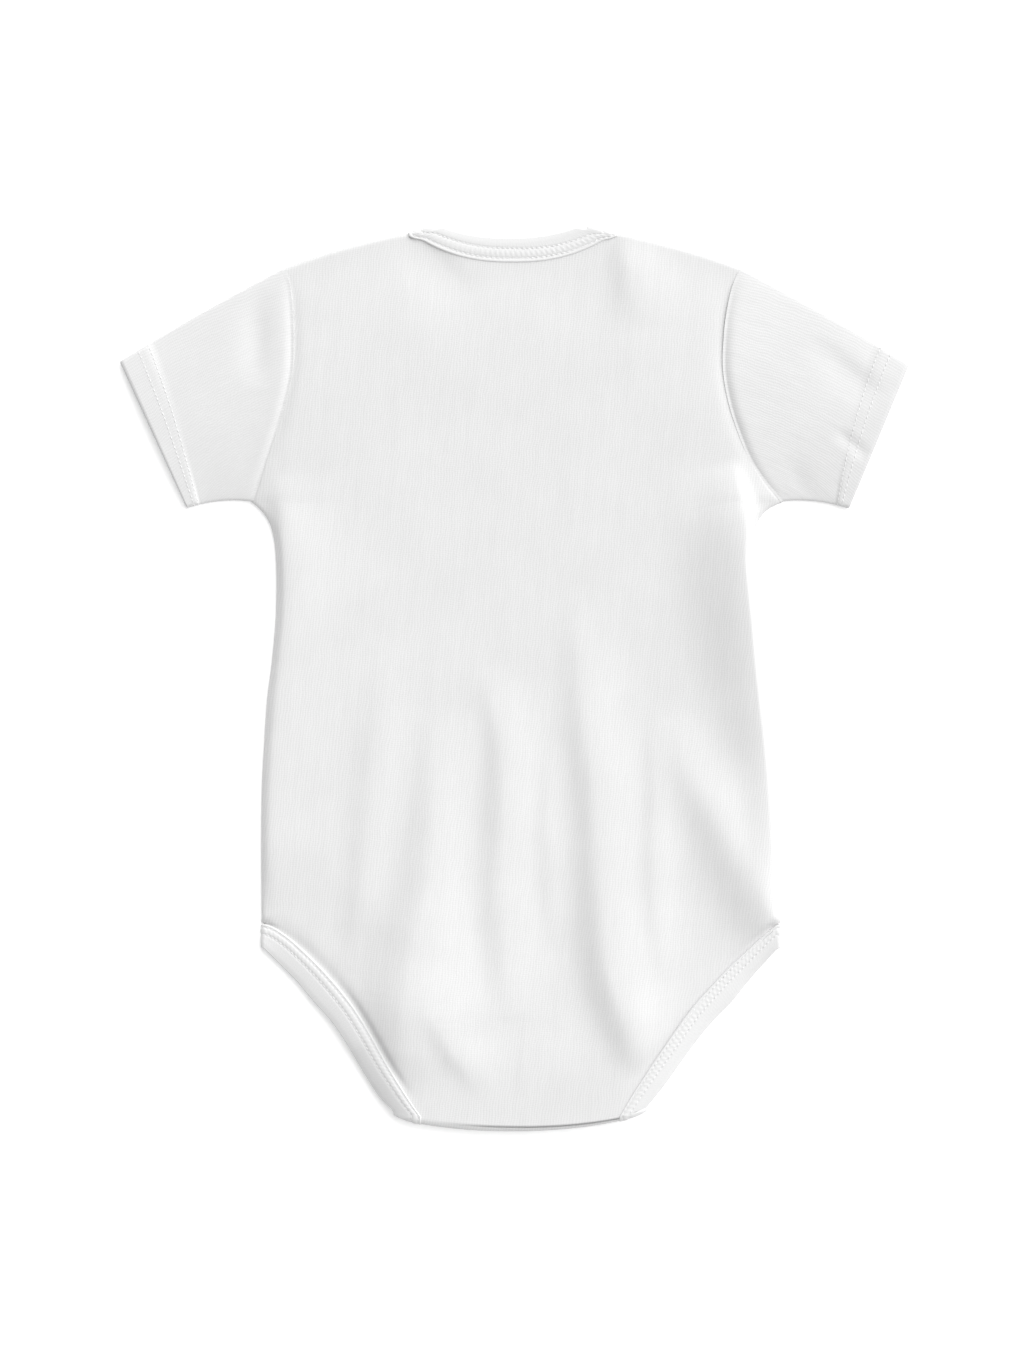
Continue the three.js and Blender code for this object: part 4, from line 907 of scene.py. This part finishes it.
legBindings = {side: makeBinding(f"legBinding{name}Rib", legBindingRows(side), bindingForm["legRows"],
                                 f"leg_binding_{name.lower()}", facing=-side)
               for side, name in ((-1, "Left"), (1, "Right"))}
neckBinding = makeBinding("neckBindingRib", neckBindingRows(), bindingForm["neckRows"], "neck_binding", True)
print("bindings made")

# Stitches: cover stitch in two rows, each stitch a small bead of thread that sinks into the cloth
stitch = {
    "pitch": 2.3, "length": 1.9, "width": 0.5, "height": 0.36,
    "hemRows": (9.4, 14.6), "ladder": 0.3,
}


def bandLine(surface, at):  # the points of a band's upper face at a distance from its seam
    upper, a, arc = surface
    return np.array([[np.interp(at, a[i], upper[i, :, k]) for k in range(3)] for i in range(len(arc))])


def hemLine(surface, fromCuff):  # the points around a sleeve at a distance from its cuff
    outer, along, length = surface
    keep = along < length - 0.01
    return np.stack([np.stack([np.interp(length - fromCuff, along[keep], outer[keep, j, k])
                               for k in range(3)], -1) for j in range(outer.shape[1])])


def stations(line, beside, pitch, shift=0.0):  # places along a line, with the ways along and across it
    at = lengths(line)
    count = max(2, int(at[-1] / pitch))
    where = (np.arange(count) + 0.5 + shift) * at[-1] / count
    point = lambda source, t: np.stack([np.interp(t, at, source[:, k]) for k in range(3)], -1)
    centre = point(line, where)
    along = unit(point(line, where + 0.4) - point(line, where - 0.4))
    across = unit(point(beside, where) - centre)
    return centre, along, across


def makeBead():
    bm = bmesh.new()
    bmesh.ops.create_uvsphere(bm, u_segments=6, v_segments=4, radius=1)
    mesh = bpy.data.meshes.new("bead")
    bm.to_mesh(mesh)
    bm.free()
    return mesh


bead = makeBead()


def addBeads(bm, centre, along, across, size):
    up = unit(np.cross(along, across))
    across = np.cross(up, along)
    for place, x, y, z in zip(centre, along, across, up):
        axes = [axis * half / 2 for axis, half in zip((x, y, z), size)]
        rows = [[axes[0][k], axes[1][k], axes[2][k], place[k]] for k in range(3)]
        matrix = Matrix([[value * mm for value in row] for row in rows] + [[0, 0, 0, 1]])
        bead.transform(matrix)
        bm.from_mesh(bead)
        bead.transform(matrix.inverted())


def makeStitches(name, lines, ladder=None):
    bm = bmesh.new()
    size = (stitch["length"], stitch["width"], stitch["height"])
    for line, beside in lines:
        addBeads(bm, *stations(line, beside, stitch["pitch"]), size)
    if ladder:  # the looper thread that crosses between the rows
        (one, _), (two, _) = lines
        a, along, across = stations(one, two, stitch["pitch"])
        b = stations(two, one, stitch["pitch"], 0.45)[0]
        b = b[np.argmin(np.linalg.norm(b[None] - a[:, None], axis=2), axis=1)]
        lean = unit(b - a)
        middle = (a + b) / 2 + np.cross(along, across) * 0.1
        long = float(np.linalg.norm(b - a, axis=1).mean()) * 0.9
        addBeads(bm, middle, lean, unit(along - lean * (along * lean).sum(1)[:, None]),
                 (long, stitch["ladder"], stitch["ladder"]))
    bmesh.ops.recalc_face_normals(bm, faces=bm.faces)
    return addPiece(name, bm, sewingThread, [])


for side, name in ((-1, "Left"), (1, "Right")):
    band = legBindings[side][1]
    first, second = (bandLine(band, at) for at in bindingForm["legRows"])
    makeStitches(f"legStitches{name}", [(first, second), (second, first)])
    surface = sleeves[side][1]
    rows = [hemLine(surface, at) for at in stitch["hemRows"]]
    near = [hemLine(surface, at + 1) for at in stitch["hemRows"]]
    makeStitches(f"hemStitches{name}", list(zip(rows, near)))
first, second = (bandLine(neckBinding[1], at) for at in bindingForm["neckRows"])
makeStitches("neckStitches", [(first, second), (second, first)], ladder=True)
print("stitches made")

# Snaps: spun outer caps that show underneath, and the closed snaps' other parts from the solids
snap = {"radius": 4.8, "height": 0.8, "round": 0.5, "y": -178, "spacing": 25, "segments": 48,
        "brim": 1.1, "groove": 0.4, "dish": 0.15}


def makeCap(number):
    x = flap["lean"] + (number - 2) * snap["spacing"]
    bm = bmesh.new()
    bmesh.ops.create_circle(bm, cap_ends=True, segments=snap["segments"], radius=snap["radius"] * mm)
    bmesh.ops.translate(bm, verts=bm.verts, vec=(0, 0, snap["height"] * mm))
    base = bm.faces[:]
    low = bmesh.ops.extrude_face_region(bm, geom=base)["geom"]
    verts = [item for item in low if isinstance(item, bmesh.types.BMVert)]
    bmesh.ops.translate(bm, verts=verts, vec=(0, 0, -snap["height"] * mm))
    bmesh.ops.recalc_face_normals(bm, faces=bm.faces)
    rim = [edge for edge in bm.edges if all(v.co.z < 0.1 * mm for v in edge.verts)]
    bmesh.ops.bevel(bm, geom=rim, offset=snap["round"] * mm, segments=5, profile=0.5, material=-1,
                    affect="EDGES")
    face = min(bm.faces, key=lambda f: f.calc_center_median().z - f.calc_area())
    for width in (snap["brim"], snap["groove"]):
        bmesh.ops.inset_individual(bm, faces=[face], thickness=width * mm)
    bmesh.ops.translate(bm, verts=face.verts, vec=(0, 0, snap["dish"] * mm))
    bmesh.ops.translate(bm, verts=bm.verts, vec=(x * mm, snap["y"] * mm, 0))
    piece = addPiece(f"snap{number}Cap", bm, snapEnamel, [f"snap_{number}_outer_cap"])
    for polygon in piece.data.polygons:
        polygon.use_smooth = polygon.area < 1e-6
    return piece


snapCaps = [makeCap(number) for number in (1, 2, 3)]
for name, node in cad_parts.items():
    if name.startswith("snap_") and not name.endswith("outer_cap"):
        node.data.materials.clear()
        node.data.materials.append(snapEnamel)
print("snaps made")

# Table, light and camera
stage = {"size": 3.0, "sunPower": 3.9, "sunAngle": 95, "sunFrom": (0.57, 0.60, 0.50), "world": 0.50,
         "cameraX": -1.1, "cameraY": -2.0, "cameraZ": 1900, "viewHeight": 620.6}
bm = bmesh.new()
bmesh.ops.create_grid(bm, x_segments=2, y_segments=2, size=stage["size"] / 2)
bmesh.ops.translate(bm, verts=bm.verts, vec=(0, 0, -0.0001))
floorMesh = bpy.data.meshes.new("floor")
bm.to_mesh(floorMesh)
bm.free()
floorMesh.materials.append(makeTable())
floor = bpy.data.objects.new("floor", floorMesh)
bpy.context.collection.objects.link(floor)

world = bpy.data.worlds.new("studio")
world.use_nodes = True
world.node_tree.nodes["Background"].inputs["Color"].default_value = (1, 1, 1, 1)
world.node_tree.nodes["Background"].inputs["Strength"].default_value = stage["world"]
bpy.context.scene.world = world
sunData = bpy.data.lights.new("softSun", "SUN")
sunData.energy = stage["sunPower"]
sunData.angle = math.radians(stage["sunAngle"])
sun = bpy.data.objects.new("softSun", sunData)
bpy.context.collection.objects.link(sun)
sx, sy, sz = stage["sunFrom"]
sun.rotation_euler = (math.atan2(math.hypot(sx, sy), sz), 0, math.atan2(sy, sx) + math.pi / 2)

cameraData = bpy.data.cameras.new("camera")
cameraData.sensor_fit = "VERTICAL"
cameraData.sensor_height = 24
cameraData.lens = 24 * stage["cameraZ"] / stage["viewHeight"]
camera = bpy.data.objects.new("camera", cameraData)
camera.location = (stage["cameraX"] * mm, stage["cameraY"] * mm, stage["cameraZ"] * mm)
bpy.context.collection.objects.link(camera)
bpy.context.scene.camera = camera
bpy.context.scene.view_settings.view_transform = "Standard"
print("stage made")
